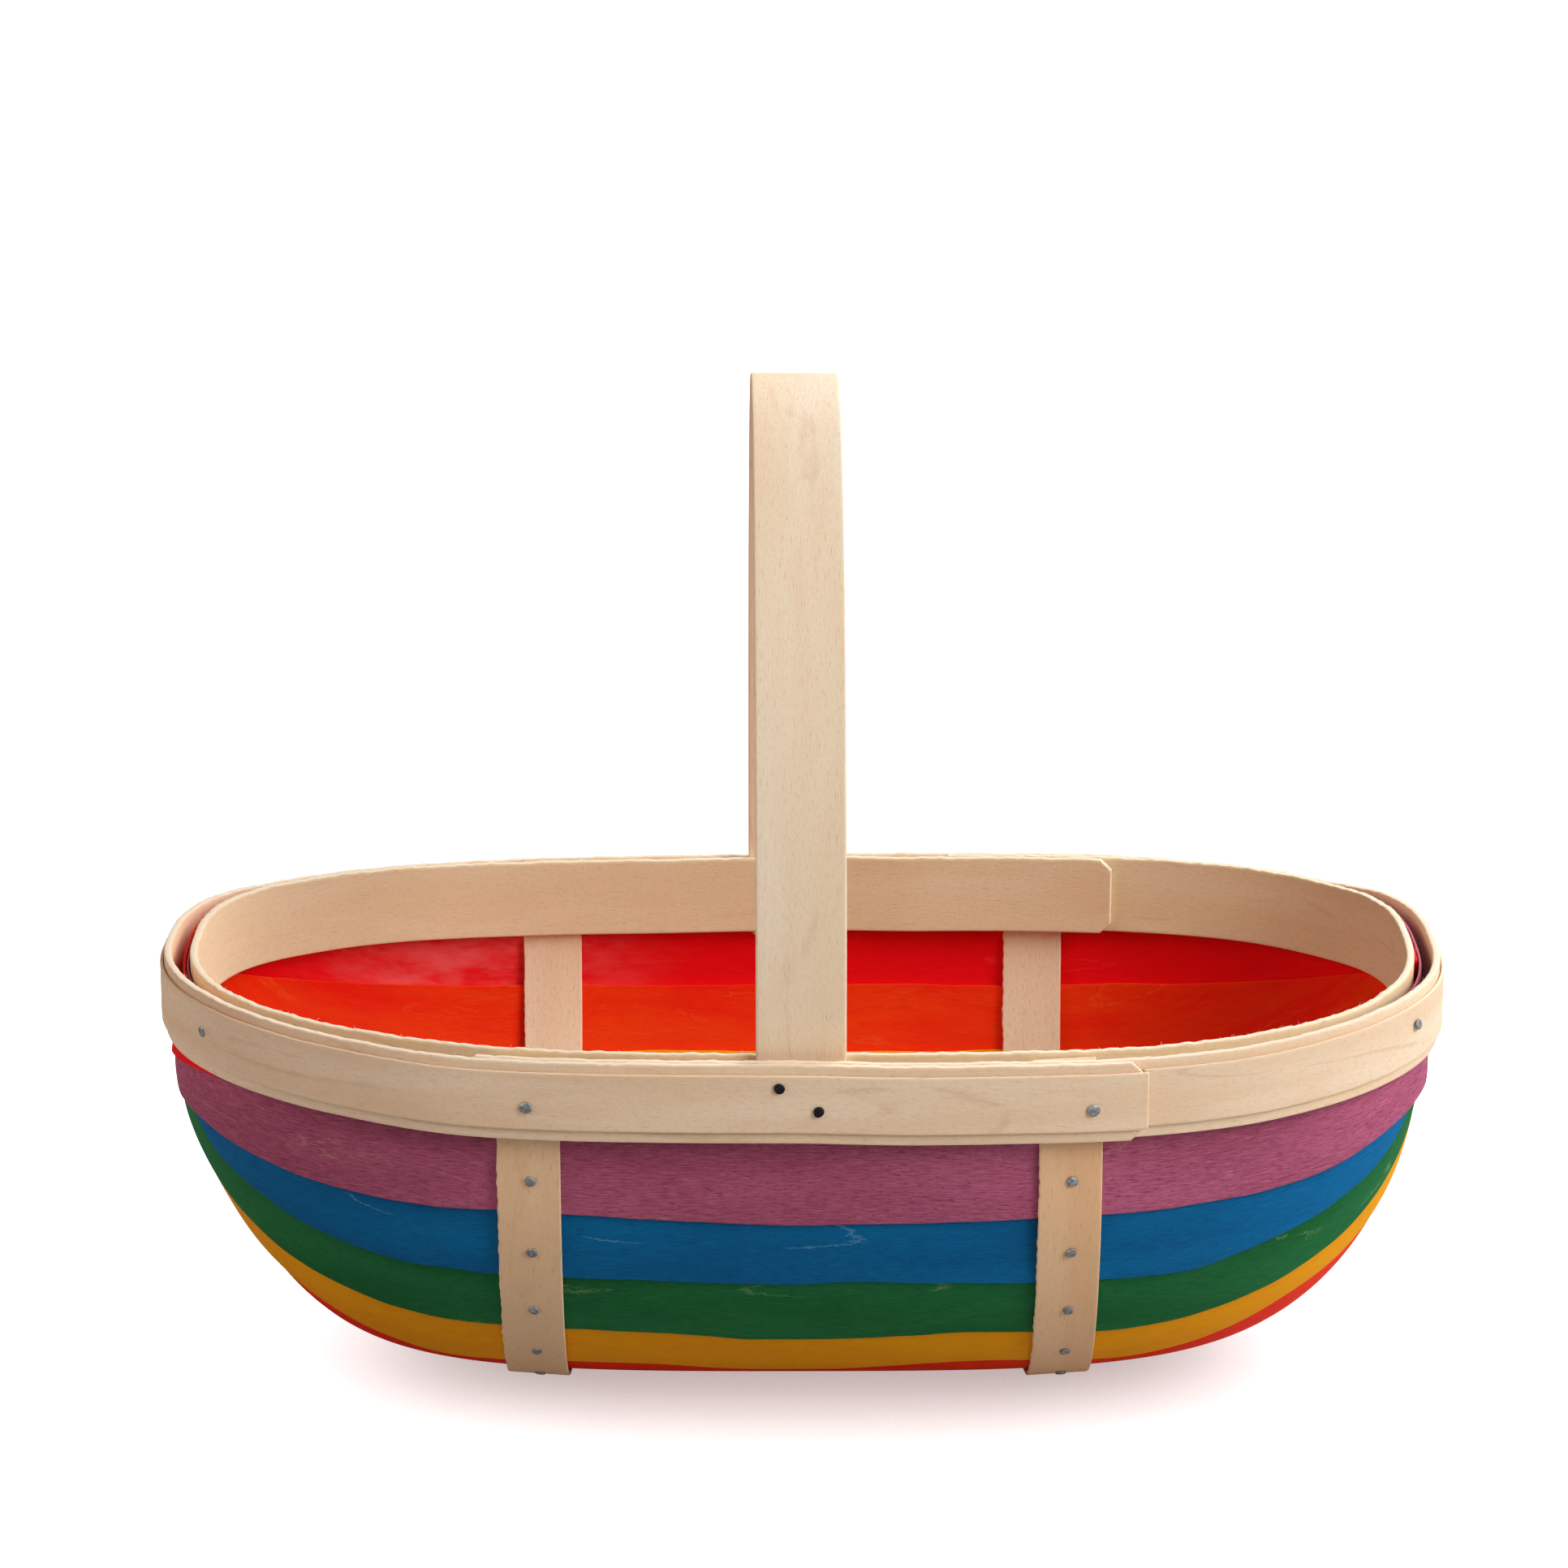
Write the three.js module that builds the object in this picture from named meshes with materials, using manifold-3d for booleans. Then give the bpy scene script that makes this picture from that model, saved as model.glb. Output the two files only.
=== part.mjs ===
// Garden trug basket: a boat-shaped shell of twelve stained slats held by two pairs of cross
// straps, an inner hoop, a lapped outer band with a face strip, and a bent strip handle.
// Millimetres, +Z up, +X along the basket, the basket's bottom at z = 0.
import * as THREE from 'three';
import { mergeVertices } from 'three/addons/utils/BufferGeometryUtils.js';
import Module from 'manifold-3d';

const wasm = await Module();
wasm.setup();

// Rim: the oval over the face strip, away from the lap. It rises toward the tips.
const rimLength = 399;
const rimWidth = 213.4;
const planExponent = 2.76;
const keelPlanExponent = 3.27;
const rimDepth = 25.4;
const sheerRise = 5;
const sheerPower = 3.2;

// Outer band, the face strip nailed over it, and the inner hoop
const bandThickness = 2.4;
const bandHeight = 24.5;
const bandDropFront = -0.7;
const bandDropBack = 2.2;
const bandLapLeft = 100.5;
const bandLapRight = 99.5;
const faceThickness = 1;
const faceHeight = 18;
const faceDrop = 2.8;
const faceStartGap = 0.4;
const faceOverhang = 1.2;
const hoopThickness = 2.4;
const hoopLapStart = 103;
const hoopLapEnd = 45;
const lapRampLength = 42;
const lapApproach = 2;
const cornerCut = 3.5;

// Rise of the rim's strips over a level edge, along the front and along the back, in shares of the
// rim's depth. Front passes into back within a share of the half width.
const risePlaceShares = [
  -0.97, -0.93, -0.88, -0.83, -0.78, -0.69, -0.5, -0.24, 0, 0.15, 0.33, 0.5, 0.6, 0.7, 0.78,
  0.84, 0.89, 0.93, 0.97,
];
const bandRiseShares = {
  front: [
    0.102, 0.091, 0.067, 0.055, 0.028, 0.008, -0.016, 0, 0, -0.031, -0.039, -0.071, -0.079,
    -0.079, -0.055, -0.039, -0.024, -0.008, 0,
  ],
  back: [
    -0.039, -0.071, -0.071, -0.059, -0.047, -0.031, -0.012, 0, 0.008, 0.028, 0.035, 0.051, 0.035,
    0.008, -0.008, -0.043, -0.071, -0.075, -0.024,
  ],
};
const hoopRiseShares = {
  front: [
    0.039, 0.039, 0.039, 0.039, 0.031, 0.028, 0, 0, 0, 0, -0.008, -0.039, -0.047, -0.051, -0.047,
    -0.059, -0.059, -0.039, -0.02,
  ],
  back: [
    -0.031, -0.039, -0.043, -0.043, -0.031, -0.024, -0.031, -0.035, -0.004, 0.016, 0.039, 0.047,
    0.043, 0.035, 0.02, -0.008, -0.031, -0.039, -0.02,
  ],
};
const riseTurnShare = 0.42;

// Shell of slats, measured on its smooth inner face
const shellDepth = 104.1;
const tipHang = 8.8;
const keelFlatHalf = 66;
const keelBendExponent = 2.944;
const keelDepthExponent = 1.836;
const sectionExponent = 2.271;
const slatThickness = 0.8;
const poleRise = 17;
const slatEndInset = 0.2;
const leanFromShare = 0.5;
const leanToShare = 0.88;
const leanShares = [
  { depth: 0.0075, lean: 0 },
  { depth: 0.02, lean: -0.0015 },
  { depth: 0.037, lean: -0.0048 },
  { depth: 0.06, lean: -0.008 },
  { depth: 0.09, lean: -0.0078 },
  { depth: 0.13, lean: -0.0066 },
  { depth: 0.2, lean: -0.004 },
  { depth: 0.33, lean: 0.0055 },
  { depth: 0.45, lean: 0.015 },
  { depth: 0.62, lean: 0.0225 },
  { depth: 0.78, lean: 0.0165 },
  { depth: 1, lean: 0 },
];

// Rim slats, whose ends wrap round the tips between hoop and band
const rimSlatRise = 19;
const rimSlatRiseAtTip = 22;
const rimSlatDrop = 26.4;
const rimSlatTaperPower = 4;
const purpleTipDrop = 14;
const redTipDrop = 9.7;
const longWrap = 62;
const shortWrap = 16;
const wrapRampStartInset = 60;
const wrapRampEndInset = 23;
const wrapEndRise = 1;
const rimSlatFolds = [-10, -3];
const rimSlatFoldShares = [0.16, 0.34, 0.56, 0.78];

// Cross straps
const strapPlaces = { left: -82, right: 79.3 };
const innerStrapPlaces = { left: -82, right: 77 };
const strapWidth = 19;
const strapThickness = 1.4;
const strapTopInset = 2;

// Handle
const handleWidth = 26.8;
const handleThickness = 2.4;
const handleRise = 183;
const handleFoot = 2.4;
const handleSeatGap = 0.39;
const handleOffset = -2.3;
const handleSkew = -3;
const archExponent = 2.1;
const handleCornerCut = 2;

// Nails
const nailHeadRadius = 1.75;
const nailHeadHeight = 0.8;
const nailShankRadius = 0.7;
const nailSeatGap = 0.15;
const nailClearance = 0.3;
const strapNailBite = 0.9;
const hoopNailBite = 1.4;
const strapNailDrop = 13.7;
const hoopNailPlaces = { left: -82, right: 84 };
const handleNailDrops = [6.6, 13.8];
const handleNailOffsets = [-7.2, 4.4];
const tipNailInset = 17.5;
const tipNailInsetLeft = 20.2;
const tipNailInsetRight = 16.8;
const tipNailDrop = 11.5;
const tipNailDropRight = 9.1;

// Clear space between pieces that lie on each other
const layerGap = 0.3;
const pitch = slatThickness + layerGap;

// Steps of the meshes
const hoopSteps = 68;
const crossStepShare = 0.045;
const rimSlatSteps = 70;
const strapStepShare = 0.075;
const archSteps = 34;
const nailSides = 6;
const curveSamples = 400;
const turnReach = 60;
const leastStep = 3;
const mergeReach = 1e-5;
const slopeStepShare = 1e-4;
const poleShare = 1e-7;
const keelShare = 1e-6;
const flatSlackShare = 1e-3;

// Shares of the half girth, from the pole in the rim down to the keel, of each slat's two edges.
// Slat 1 is the rim slat, whose edges are given by the drops above.
const upperEdgeShares = [0.0444, 0.207, 0.33, 0.462, 0.56, 0.8];
const lowerEdgeShares = [0.24, 0.367, 0.503, 0.64, 0.85, 1.03];
const keelEdgeShare = 0.995;
const nailShares = [0.172, 0.304, 0.432, 0.56, 0.7, 0.885];
const flatShare = 0.06;

// Drift of the lower edges of the first four slats, at shares of the shell's length from the
// middle: the rim slat's in shares of its drop, the others' in shares of the half girth
const driftPlaceShares = [
  -0.99, -0.96, -0.88, -0.78, -0.68, -0.58, -0.5, -0.36, -0.24, -0.08, 0.08, 0.24, 0.33, 0.45,
  0.52, 0.6, 0.7, 0.8, 0.9, 0.97,
];
const driftShares = [
  [
    -0.021, -0.021, -0.007, 0.005, 0.006, -0.019, -0.046, -0.059, -0.04, 0.014, 0.036, 0.001,
    -0.016, -0.005, 0.01, 0.036, 0.049, 0.039, -0.03, -0.066,
  ],
  [
    -0.03, 0.02, 0.008, 0.005, 0.006, 0.003, -0.001, -0.008, -0.007, -0.002, -0.005, -0.002, 0.002,
    0.01, 0.015, 0.02, 0.01, 0.004, 0.01, 0.017,
  ],
  [
    0.035, 0.035, 0.022, 0.004, 0.001, 0.001, -0.003, -0.015, -0.01, 0.008, 0.005, -0.008, -0.005,
    0.007, 0.018, 0.016, 0.003, -0.008, -0.009, -0.002,
  ],
  [
    0.019, 0.019, 0.019, -0.007, 0.009, 0.034, 0.018, -0.017, -0.014, 0.02, 0.013, -0.026, -0.026,
    0.007, 0.023, 0.008, -0.028, -0.058, -0.046, -0.042,
  ],
];

// Ovals of the rim, from the outside in
const bandInner = {
  length: rimLength / 2 - faceThickness - layerGap - bandThickness,
  width: rimWidth / 2 - faceThickness - layerGap - bandThickness,
};
const edgeShare = upperEdgeShares[0];
const tipLevel = 2.75;
const strapStack = slatThickness + 3 * layerGap + strapThickness;
const shellTop = {
  length: bandInner.length - (pitch * (tipLevel + 1) + slatThickness + layerGap),
  width: bandInner.width - strapStack,
};
const hoopOuter = {
  length: shellTop.length - layerGap,
  width: shellTop.width - 2 * layerGap - handleThickness,
};
const lapRise = bandThickness + layerGap;
const hoopLapRise = hoopThickness + layerGap;

// Helpers for numbers
function smoothStep(value, from, to) {
  const t = Math.min(1, Math.max(0, (value - from) / (to - from)));
  return t * t * (3 - 2 * t);
}

function interpolate(table, key, value) {
  let low = 0;
  let high = table.length - 1;
  while (high - low > 1) {
    const middle = (low + high) >> 1;
    if (table[middle][key] <= value) {
      low = middle;
    } else {
      high = middle;
    }
  }
  const span = table[high][key] - table[low][key] || 1;
  return { low: table[low], high: table[high], t: (value - table[low][key]) / span };
}

function mix(a, b, t) {
  return a + (b - a) * t;
}

function between(places, values, place) {
  let index = 0;
  while (index < places.length - 2 && place > places[index + 1]) {
    index += 1;
  }
  const t = (place - places[index]) / (places[index + 1] - places[index]);
  return mix(values[index], values[index + 1], Math.min(1, Math.max(0, t)));
}

// Point of an oval |x / a|^p + |y / b|^p = 1 at a polar angle
function ovalPoint(oval, angle) {
  const power = oval.power ?? planExponent;
  const c = Math.abs(Math.cos(angle)) / oval.length;
  const s = Math.abs(Math.sin(angle)) / oval.width;
  const radius = (c ** power + s ** power) ** (-1 / power);
  return new THREE.Vector2(radius * Math.cos(angle), radius * Math.sin(angle));
}

// Outward normal of the same oval
function ovalNormal(oval, point) {
  const power = (oval.power ?? planExponent) - 1;
  const nx = (Math.sign(point.x) * (Math.abs(point.x) / oval.length) ** power) / oval.length;
  const ny = (Math.sign(point.y) * (Math.abs(point.y) / oval.width) ** power) / oval.width;
  return new THREE.Vector2(nx, ny).normalize();
}

// A track round an oval, counterclockwise from the middle of the front. Its measure is the length
// run plus the turn made, so that the steps are short where the oval bends most.
function makeTrack(oval) {
  const table = [];
  let run = 0;
  let measure = 0;
  let last = null;
  for (let i = 0; i <= 4 * curveSamples; i += 1) {
    const angle = -Math.PI / 2 + (2 * Math.PI * i) / (4 * curveSamples);
    const point = ovalPoint(oval, angle);
    const normal = ovalNormal(oval, point);
    if (last) {
      const step = point.distanceTo(last.point);
      const turn = Math.acos(Math.min(1, normal.dot(last.normal)));
      run += step;
      measure += step + turn * turnReach;
    }
    last = { point, normal, angle, run, measure };
    table.push(last);
  }
  const length = run;
  // Run at which the front, or the back, of the oval is x away from the middle
  function runAtX(x, back) {
    const quarter = table.length / 4;
    const from = back ? Math.floor(quarter) : Math.floor(-quarter);
    const half = [];
    for (let i = from; i <= from + table.length / 2; i += 1) {
      const index = (i + table.length - 1) % (table.length - 1);
      const lap = i < 0 ? -length : 0;
      half.push({ x: table[index].point.x * (back ? -1 : 1), run: table[index].run + lap });
    }
    const found = interpolate(half, 'x', back ? -x : x);
    return mix(found.low.run, found.high.run, found.t);
  }
  function at(distance) {
    const turns = Math.floor(distance / length);
    const found = interpolate(table, 'run', distance - turns * length);
    const angle = mix(found.low.angle, found.high.angle, found.t);
    const point = ovalPoint(oval, angle);
    return { point, normal: ovalNormal(oval, point), angle };
  }
  // Runs of even measure between two runs, with both ends or moved in to the even ones
  function stations(from, to, steps, snapped) {
    const stepMeasure = measure / steps;
    const list = [];
    for (let k = Math.floor((from / length) * steps) - steps; k <= 3 * steps; k += 1) {
      const turns = Math.floor(k / steps);
      const found = interpolate(table, 'measure', (k - turns * steps) * stepMeasure);
      const distance = mix(found.low.run, found.high.run, found.t) + turns * length;
      const inset = snapped ? 0 : leastStep;
      if (distance >= from + inset && distance <= to - inset) {
        list.push(distance);
      }
    }
    return snapped ? list : [from, ...list, to];
  }
  return { at, length, runAtX, stations };
}

// Solid between two matching grids of points, the outer face and the inner face
function shellSolid(outer, inner) {
  const rows = outer.length;
  const columns = outer[0].length;
  const positions = [];
  const indices = [];
  for (const grid of [outer, inner]) {
    for (const row of grid) {
      for (const point of row) {
        positions.push(point.x, point.y, point.z);
      }
    }
  }
  const at = (side, i, j) => (side * rows + i) * columns + j;
  const quad = (a, b, c, d) => indices.push(a, b, c, a, c, d);
  for (let i = 0; i < rows - 1; i += 1) {
    for (let j = 0; j < columns - 1; j += 1) {
      quad(at(0, i, j), at(0, i + 1, j), at(0, i + 1, j + 1), at(0, i, j + 1));
      quad(at(1, i, j), at(1, i, j + 1), at(1, i + 1, j + 1), at(1, i + 1, j));
    }
    quad(at(0, i, 0), at(1, i, 0), at(1, i + 1, 0), at(0, i + 1, 0));
    const last = columns - 1;
    quad(at(0, i, last), at(0, i + 1, last), at(1, i + 1, last), at(1, i, last));
  }
  for (let j = 0; j < columns - 1; j += 1) {
    const end = rows - 1;
    quad(at(0, 0, j), at(0, 0, j + 1), at(1, 0, j + 1), at(1, 0, j));
    quad(at(0, end, j), at(1, end, j), at(1, end, j + 1), at(0, end, j + 1));
  }
  const geometry = new THREE.BufferGeometry();
  geometry.setAttribute('position', new THREE.Float32BufferAttribute(positions, 3));
  geometry.setIndex(signedVolume(positions, indices) < 0 ? flipped(indices) : indices);
  return geometry;
}

function signedVolume(positions, indices) {
  const a = new THREE.Vector3();
  const b = new THREE.Vector3();
  const c = new THREE.Vector3();
  let volume = 0;
  for (let i = 0; i < indices.length; i += 3) {
    a.fromArray(positions, indices[i] * 3);
    b.fromArray(positions, indices[i + 1] * 3);
    c.fromArray(positions, indices[i + 2] * 3);
    volume += a.dot(b.cross(c));
  }
  return volume;
}

function flipped(indices) {
  const list = [];
  for (let i = 0; i < indices.length; i += 3) {
    list.push(indices[i], indices[i + 2], indices[i + 1]);
  }
  return list;
}

// Half length and half width of the shell's inner face at a depth below the rim's lower edge
function shellOval(depth) {
  const k = Math.min(1 - poleShare, Math.max(0, depth / shellDepth));
  const reach = shellTop.length - keelFlatHalf;
  const hung = Math.min(1 - poleShare, Math.max(0, (depth - tipHang) / (shellDepth - tipHang)));
  const flatLeft = (1 - hung ** keelDepthExponent) ** (1 / keelBendExponent);
  const deepest = 1 - k ** sectionExponent;
  return {
    length: keelFlatHalf + reach * flatLeft,
    width: shellTop.width * deepest ** (1 / sectionExponent),
    power: mix(planExponent, keelPlanExponent, k),
  };
}

function keelDepth(x) {
  const reach = shellTop.length - keelFlatHalf;
  const over = Math.max(0, Math.abs(x) - keelFlatHalf) / reach;
  return tipHang + (shellDepth - tipHang) * (1 - over ** keelBendExponent) ** (1 / keelDepthExponent);
}

// Distance function of the shell, below one inside it and above one outside
function shellMeasure(x, y, depth) {
  const oval = shellOval(depth);
  return (Math.abs(x) / oval.length) ** oval.power + (Math.abs(y) / oval.width) ** oval.power;
}

// Outward normal of the shell, from the slopes of that function
function shellNormal(x, y, depth) {
  const oval = shellOval(depth);
  const flat = ovalNormal(oval, new THREE.Vector2(x, y));
  if (depth <= 0) {
    return new THREE.Vector3(flat.x, flat.y, 0);
  }
  const step = Math.min(shellDepth * slopeStepShare, (shellDepth - depth) / 2 + shellDepth * poleShare);
  const rise = shellMeasure(x, y, depth + step) - shellMeasure(x, y, depth - step);
  const slopeDown = rise / (2 * step);
  const power = oval.power - 1;
  const slopeX = (oval.power * (Math.abs(x) / oval.length) ** power) / oval.length;
  const slopeY = (oval.power * (Math.abs(y) / oval.width) ** power) / oval.width;
  return new THREE.Vector3(Math.sign(x) * slopeX, Math.sign(y) * slopeY, -slopeDown).normalize();
}

// Section of the shell across the basket at x: its front half as a table of girth, y and depth
const sectionCache = new Map();
function sectionAt(x) {
  const key = Math.abs(x).toFixed(6);
  if (!sectionCache.has(key)) {
    const deepest = keelDepth(x);
    const table = [{ girth: 0, y: 0, depth: -poleRise }];
    for (let i = 0; i <= curveSamples; i += 1) {
      const depth = deepest * (1 - (1 - i / curveSamples) ** 3);
      const oval = shellOval(depth);
      const left = Math.max(0, 1 - (Math.abs(x) / oval.length) ** oval.power);
      const y = i === curveSamples ? 0 : -oval.width * left ** (1 / oval.power);
      const last = table[table.length - 1];
      if (i === 0) {
        last.y = y;
      }
      const girth = last.girth + Math.hypot(y - last.y, depth - last.depth);
      table.push({ girth, y, depth });
    }
    sectionCache.set(key, table);
  }
  return sectionCache.get(key);
}

// Point and normal of the shell at x and a share of the half girth, 0 at the front pole, 1 at the
// keel and 2 at the back pole; below 0 and above 2 the line runs straight up the rim
function girthPoint(x, share) {
  const table = sectionAt(x);
  const half = table[table.length - 1].girth;
  const side = share > 1 ? -1 : 1;
  const distance = (share > 1 ? 2 - share : share) * half;
  let y = table[0].y;
  let depth = distance - poleRise;
  if (distance > 0) {
    const found = interpolate(table, 'girth', Math.min(distance, half));
    y = mix(found.low.y, found.high.y, found.t);
    depth = mix(found.low.depth, found.high.depth, found.t);
  }
  const normal = shellNormal(x, y * side, depth);
  if (Math.abs(share - 1) < keelShare) {
    normal.setY(0).normalize();
  }
  return { position: new THREE.Vector3(x, y * side, -depth), normal };
}

// Rise of everything toward the tips
function sheer(x) {
  return sheerRise * (Math.abs(x) / shellTop.length) ** sheerPower;
}

// Lean of the left end, inwards where it is positive, at a place of the shell
function leftLean(x, depth) {
  const reach = smoothStep(-x / shellTop.length, leanFromShare, leanToShare);
  const level = Math.min(1, Math.max(leanShares[0].depth, depth / shellDepth));
  const found = interpolate(leanShares, 'depth', level);
  return shellTop.length * reach * mix(found.low.lean, found.high.lean, found.t);
}

// Place of a point of the shell moved out by an offset. With the turn -1 the piece is still to be
// turned round by half a circle.
function lifted(place, offset, turn = 1) {
  const point = place.position.clone().addScaledVector(place.normal, offset);
  point.setZ(point.z + sheer(point.x));
  return point.setX(point.x + turn * leftLean(turn * place.position.x, -place.position.z));
}

// Drift of a slat's lower edge at x
function driftAt(number, x) {
  const drifts = driftShares[number - 1];
  if (!drifts) {
    return 0;
  }
  return between(driftPlaceShares, drifts, x / shellTop.length);
}

// Rise of a rim strip over a level edge at a point of its track
function riseAt(rises, point) {
  const share = point.x / shellTop.length;
  const front = between(risePlaceShares, rises.front, share);
  const back = between(risePlaceShares, rises.back, share);
  const reach = riseTurnShare * shellTop.width;
  return rimDepth * mix(front, back, smoothStep(point.y, -reach, reach));
}

// Steady count of slat edges passed by a share of the half girth: 1 at the rim slat's upper edge,
// 2 at the next slat's, and so on to 7 at the keel
function edgeCount(share) {
  const knots = [...upperEdgeShares, 1];
  let index = 0;
  while (index < knots.length - 2 && share > knots[index + 1]) {
    index += 1;
  }
  return index + 1 + (share - knots[index]) / (knots[index + 1] - knots[index]);
}

// Lift of slat number i at a share: each slat leans out over the next one down
function slatLift(number, share) {
  return pitch * Math.max(0, edgeCount(share) - number);
}

// Slat from near one tip to near the other, between two shares of the girth
function slatGeometry(number, upper, lower, back, flat) {
  const track = makeTrack(shellTop);
  const quarter = track.length / 4;
  const inset = 1 - slatEndInset / shellTop.length;
  const crossSteps = Math.ceil((lower - upper) / crossStepShare);
  const outer = [];
  const inner = [];
  for (const run of track.stations(-quarter, quarter, rimSlatSteps)) {
    const x = track.at(run + track.length).point.x * inset;
    const outerRow = [];
    const innerRow = [];
    const edge = lower + driftAt(number, x);
    for (let j = 0; j <= crossSteps; j += 1) {
      const share = mix(upper, edge, j / crossSteps);
      const lift = flat ? 0 : slatLift(number, share);
      const place = girthPoint(x, back ? 2 - share : share);
      outerRow.push(lifted(place, lift + slatThickness));
      innerRow.push(lifted(place, lift));
    }
    outer.push(outerRow);
    inner.push(innerRow);
  }
  return shellSolid(outer, inner);
}

// Share of the half girth at a depth on the section at x
function shareAtDepth(x, depth) {
  const table = sectionAt(x);
  const half = table[table.length - 1].girth;
  const found = interpolate(table, 'depth', Math.min(depth, keelDepth(x)));
  return mix(found.low.girth, found.high.girth, found.t) / half;
}

// Rim slat: it runs along one side just under the band and round both tips. It lies over the
// other rim slat at one tip, its long wrap, and under it at the other, its short wrap.
function rimSlatGeometry(back, tipDrop) {
  const track = makeTrack(shellTop);
  const quarter = track.length / 4;
  const wrapRampStart = shellTop.length - wrapRampStartInset;
  const wrapRampEnd = shellTop.length - wrapRampEndInset;
  const outer = [];
  const inner = [];
  const turn = back ? -1 : 1;
  const stops = track.stations(-quarter - shortWrap, quarter + longWrap, rimSlatSteps, true);
  for (const run of stops) {
    const spot = track.at(run + track.length);
    const past = Math.abs(run) - quarter;
    const nearTip = past > 0 ? shellTop.length : Math.abs(spot.point.x);
    const taper = (nearTip / shellTop.length) ** rimSlatTaperPower;
    const drop = run > 0 ? tipDrop : purpleTipDrop;
    const wrapShare = Math.max(0, past) / longWrap;
    const drift = past > 0 ? 0 : rimSlatDrop * driftAt(1, spot.point.x);
    const lower = mix(rimSlatDrop, drop, taper) + drift - (drop + wrapEndRise) * wrapShare;
    const upper = -mix(rimSlatRise, rimSlatRiseAtTip, taper);
    const overlay = run > 0 ? smoothStep(nearTip, wrapRampStart, wrapRampEnd) : 0;
    const outerRow = [];
    const innerRow = [];
    const folds = rimSlatFoldShares.map((share) => mix(rimSlatFolds[1], lower, share));
    const depths = [upper, ...rimSlatFolds, ...folds, lower];
    for (const depth of depths) {
      const oval = shellOval(depth);
      const flatPoint = ovalPoint(oval, spot.angle);
      const normal = shellNormal(flatPoint.x, flatPoint.y, depth);
      const place = { position: new THREE.Vector3(flatPoint.x, flatPoint.y, -depth), normal };
      const lean = edgeCount(shareAtDepth(flatPoint.x, depth)) - 1;
      const lift = pitch * (Math.min(tipLevel, Math.max(0, lean)) + overlay);
      outerRow.push(lifted(place, lift + slatThickness, turn));
      innerRow.push(lifted(place, lift, turn));
    }
    outer.push(outerRow);
    inner.push(innerRow);
  }
  const geometry = shellSolid(outer, inner);
  if (back) {
    geometry.rotateZ(Math.PI);
  }
  return geometry;
}

// Strip round an oval: a flat strip on edge that follows a track at a changing offset, its corners
// cut at both ends
function hoopGeometry(oval, from, to, offsetAt, thickness, topAt, height, corner) {
  const track = makeTrack(oval);
  const outer = [];
  const inner = [];
  const runs = track.stations(from, to, hoopSteps);
  if (corner > 0) {
    runs.splice(1, 0, from + corner);
    runs.splice(runs.length - 1, 0, to - corner);
    runs.sort((a, b) => a - b);
  }
  runs.forEach((run, index) => {
    const spot = track.at(run);
    const offset = offsetAt(run, track);
    const cut = index === 0 || index === runs.length - 1 ? corner : 0;
    const outerRow = [];
    const innerRow = [];
    const top = topAt(spot.point) + sheer(spot.point.x);
    for (const z of [top - height + cut, top - cut]) {
      const base = new THREE.Vector3(spot.point.x, spot.point.y, z);
      const normal = new THREE.Vector3(spot.normal.x, spot.normal.y, 0);
      outerRow.push(base.clone().addScaledVector(normal, offset + thickness));
      innerRow.push(base.clone().addScaledVector(normal, offset));
    }
    outer.push(outerRow);
    inner.push(innerRow);
  });
  return shellSolid(outer, inner);
}

// Offset of the outer band: it climbs over its own start just before the lap on the front
const bandTrack = makeTrack(bandInner);
const bandStart = bandTrack.runAtX(-bandLapLeft, false);
const bandEnd = bandTrack.length + bandTrack.runAtX(bandLapRight, false);
function bandOffset(run) {
  const overStart = bandTrack.length + bandStart - lapApproach;
  return lapRise * smoothStep(run, overStart - lapRampLength, overStart);
}

// Offset of the inner hoop: it starts innermost on the back and lets its other end pass outside
const hoopTrack = makeTrack(hoopOuter);
const hoopStart = hoopTrack.runAtX(hoopLapStart, true);
const hoopEnd = hoopTrack.length + hoopTrack.runAtX(hoopLapEnd, true);
function hoopOffset(run) {
  const underEnd = hoopEnd - hoopTrack.length + lapApproach;
  return -hoopThickness - hoopLapRise * (1 - smoothStep(run, underEnd, underEnd + lapRampLength));
}

// Lift of the outer straps: a line through the slats' lower edges, which they rest on
function strapLift(share) {
  const fromPole = share > 1 ? 2 - share : share;
  const knots = [[edgeShare, 0]];
  lowerEdgeShares.forEach((edge, index) => {
    knots.push([Math.min(edge, 1), edgeCount(edge) - index - 1]);
  });
  if (fromPole <= edgeShare) {
    return slatThickness + layerGap;
  }
  let index = 0;
  while (index < knots.length - 2 && fromPole > knots[index + 1][0]) {
    index += 1;
  }
  const [low, high] = [knots[index], knots[index + 1]];
  const level = mix(low[1], high[1], (fromPole - low[0]) / (high[0] - low[0]));
  return pitch * level + slatThickness + layerGap;
}

// Grid of a strap's face: rows along the strap, two points across it. A row lies on each edge
// of a slat that the strap bends over.
function strapShares() {
  const girth = sectionAt(strapPlaces.right);
  const topShare = (poleRise - rimDepth + strapTopInset) / girth[girth.length - 1].girth;
  const edges = [topShare, edgeShare, ...lowerEdgeShares.filter((share) => share < 1 - flatShare)];
  edges.push(1 - flatShare);
  const shares = [topShare];
  for (let k = 1; k < edges.length; k += 1) {
    const parts = Math.ceil((edges[k] - edges[k - 1]) / strapStepShare);
    for (let i = 1; i <= parts; i += 1) {
      shares.push(mix(edges[k - 1], edges[k], i / parts));
    }
  }
  return [...shares, 1, ...shares.map((share) => 2 - share).reverse()];
}

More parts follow.
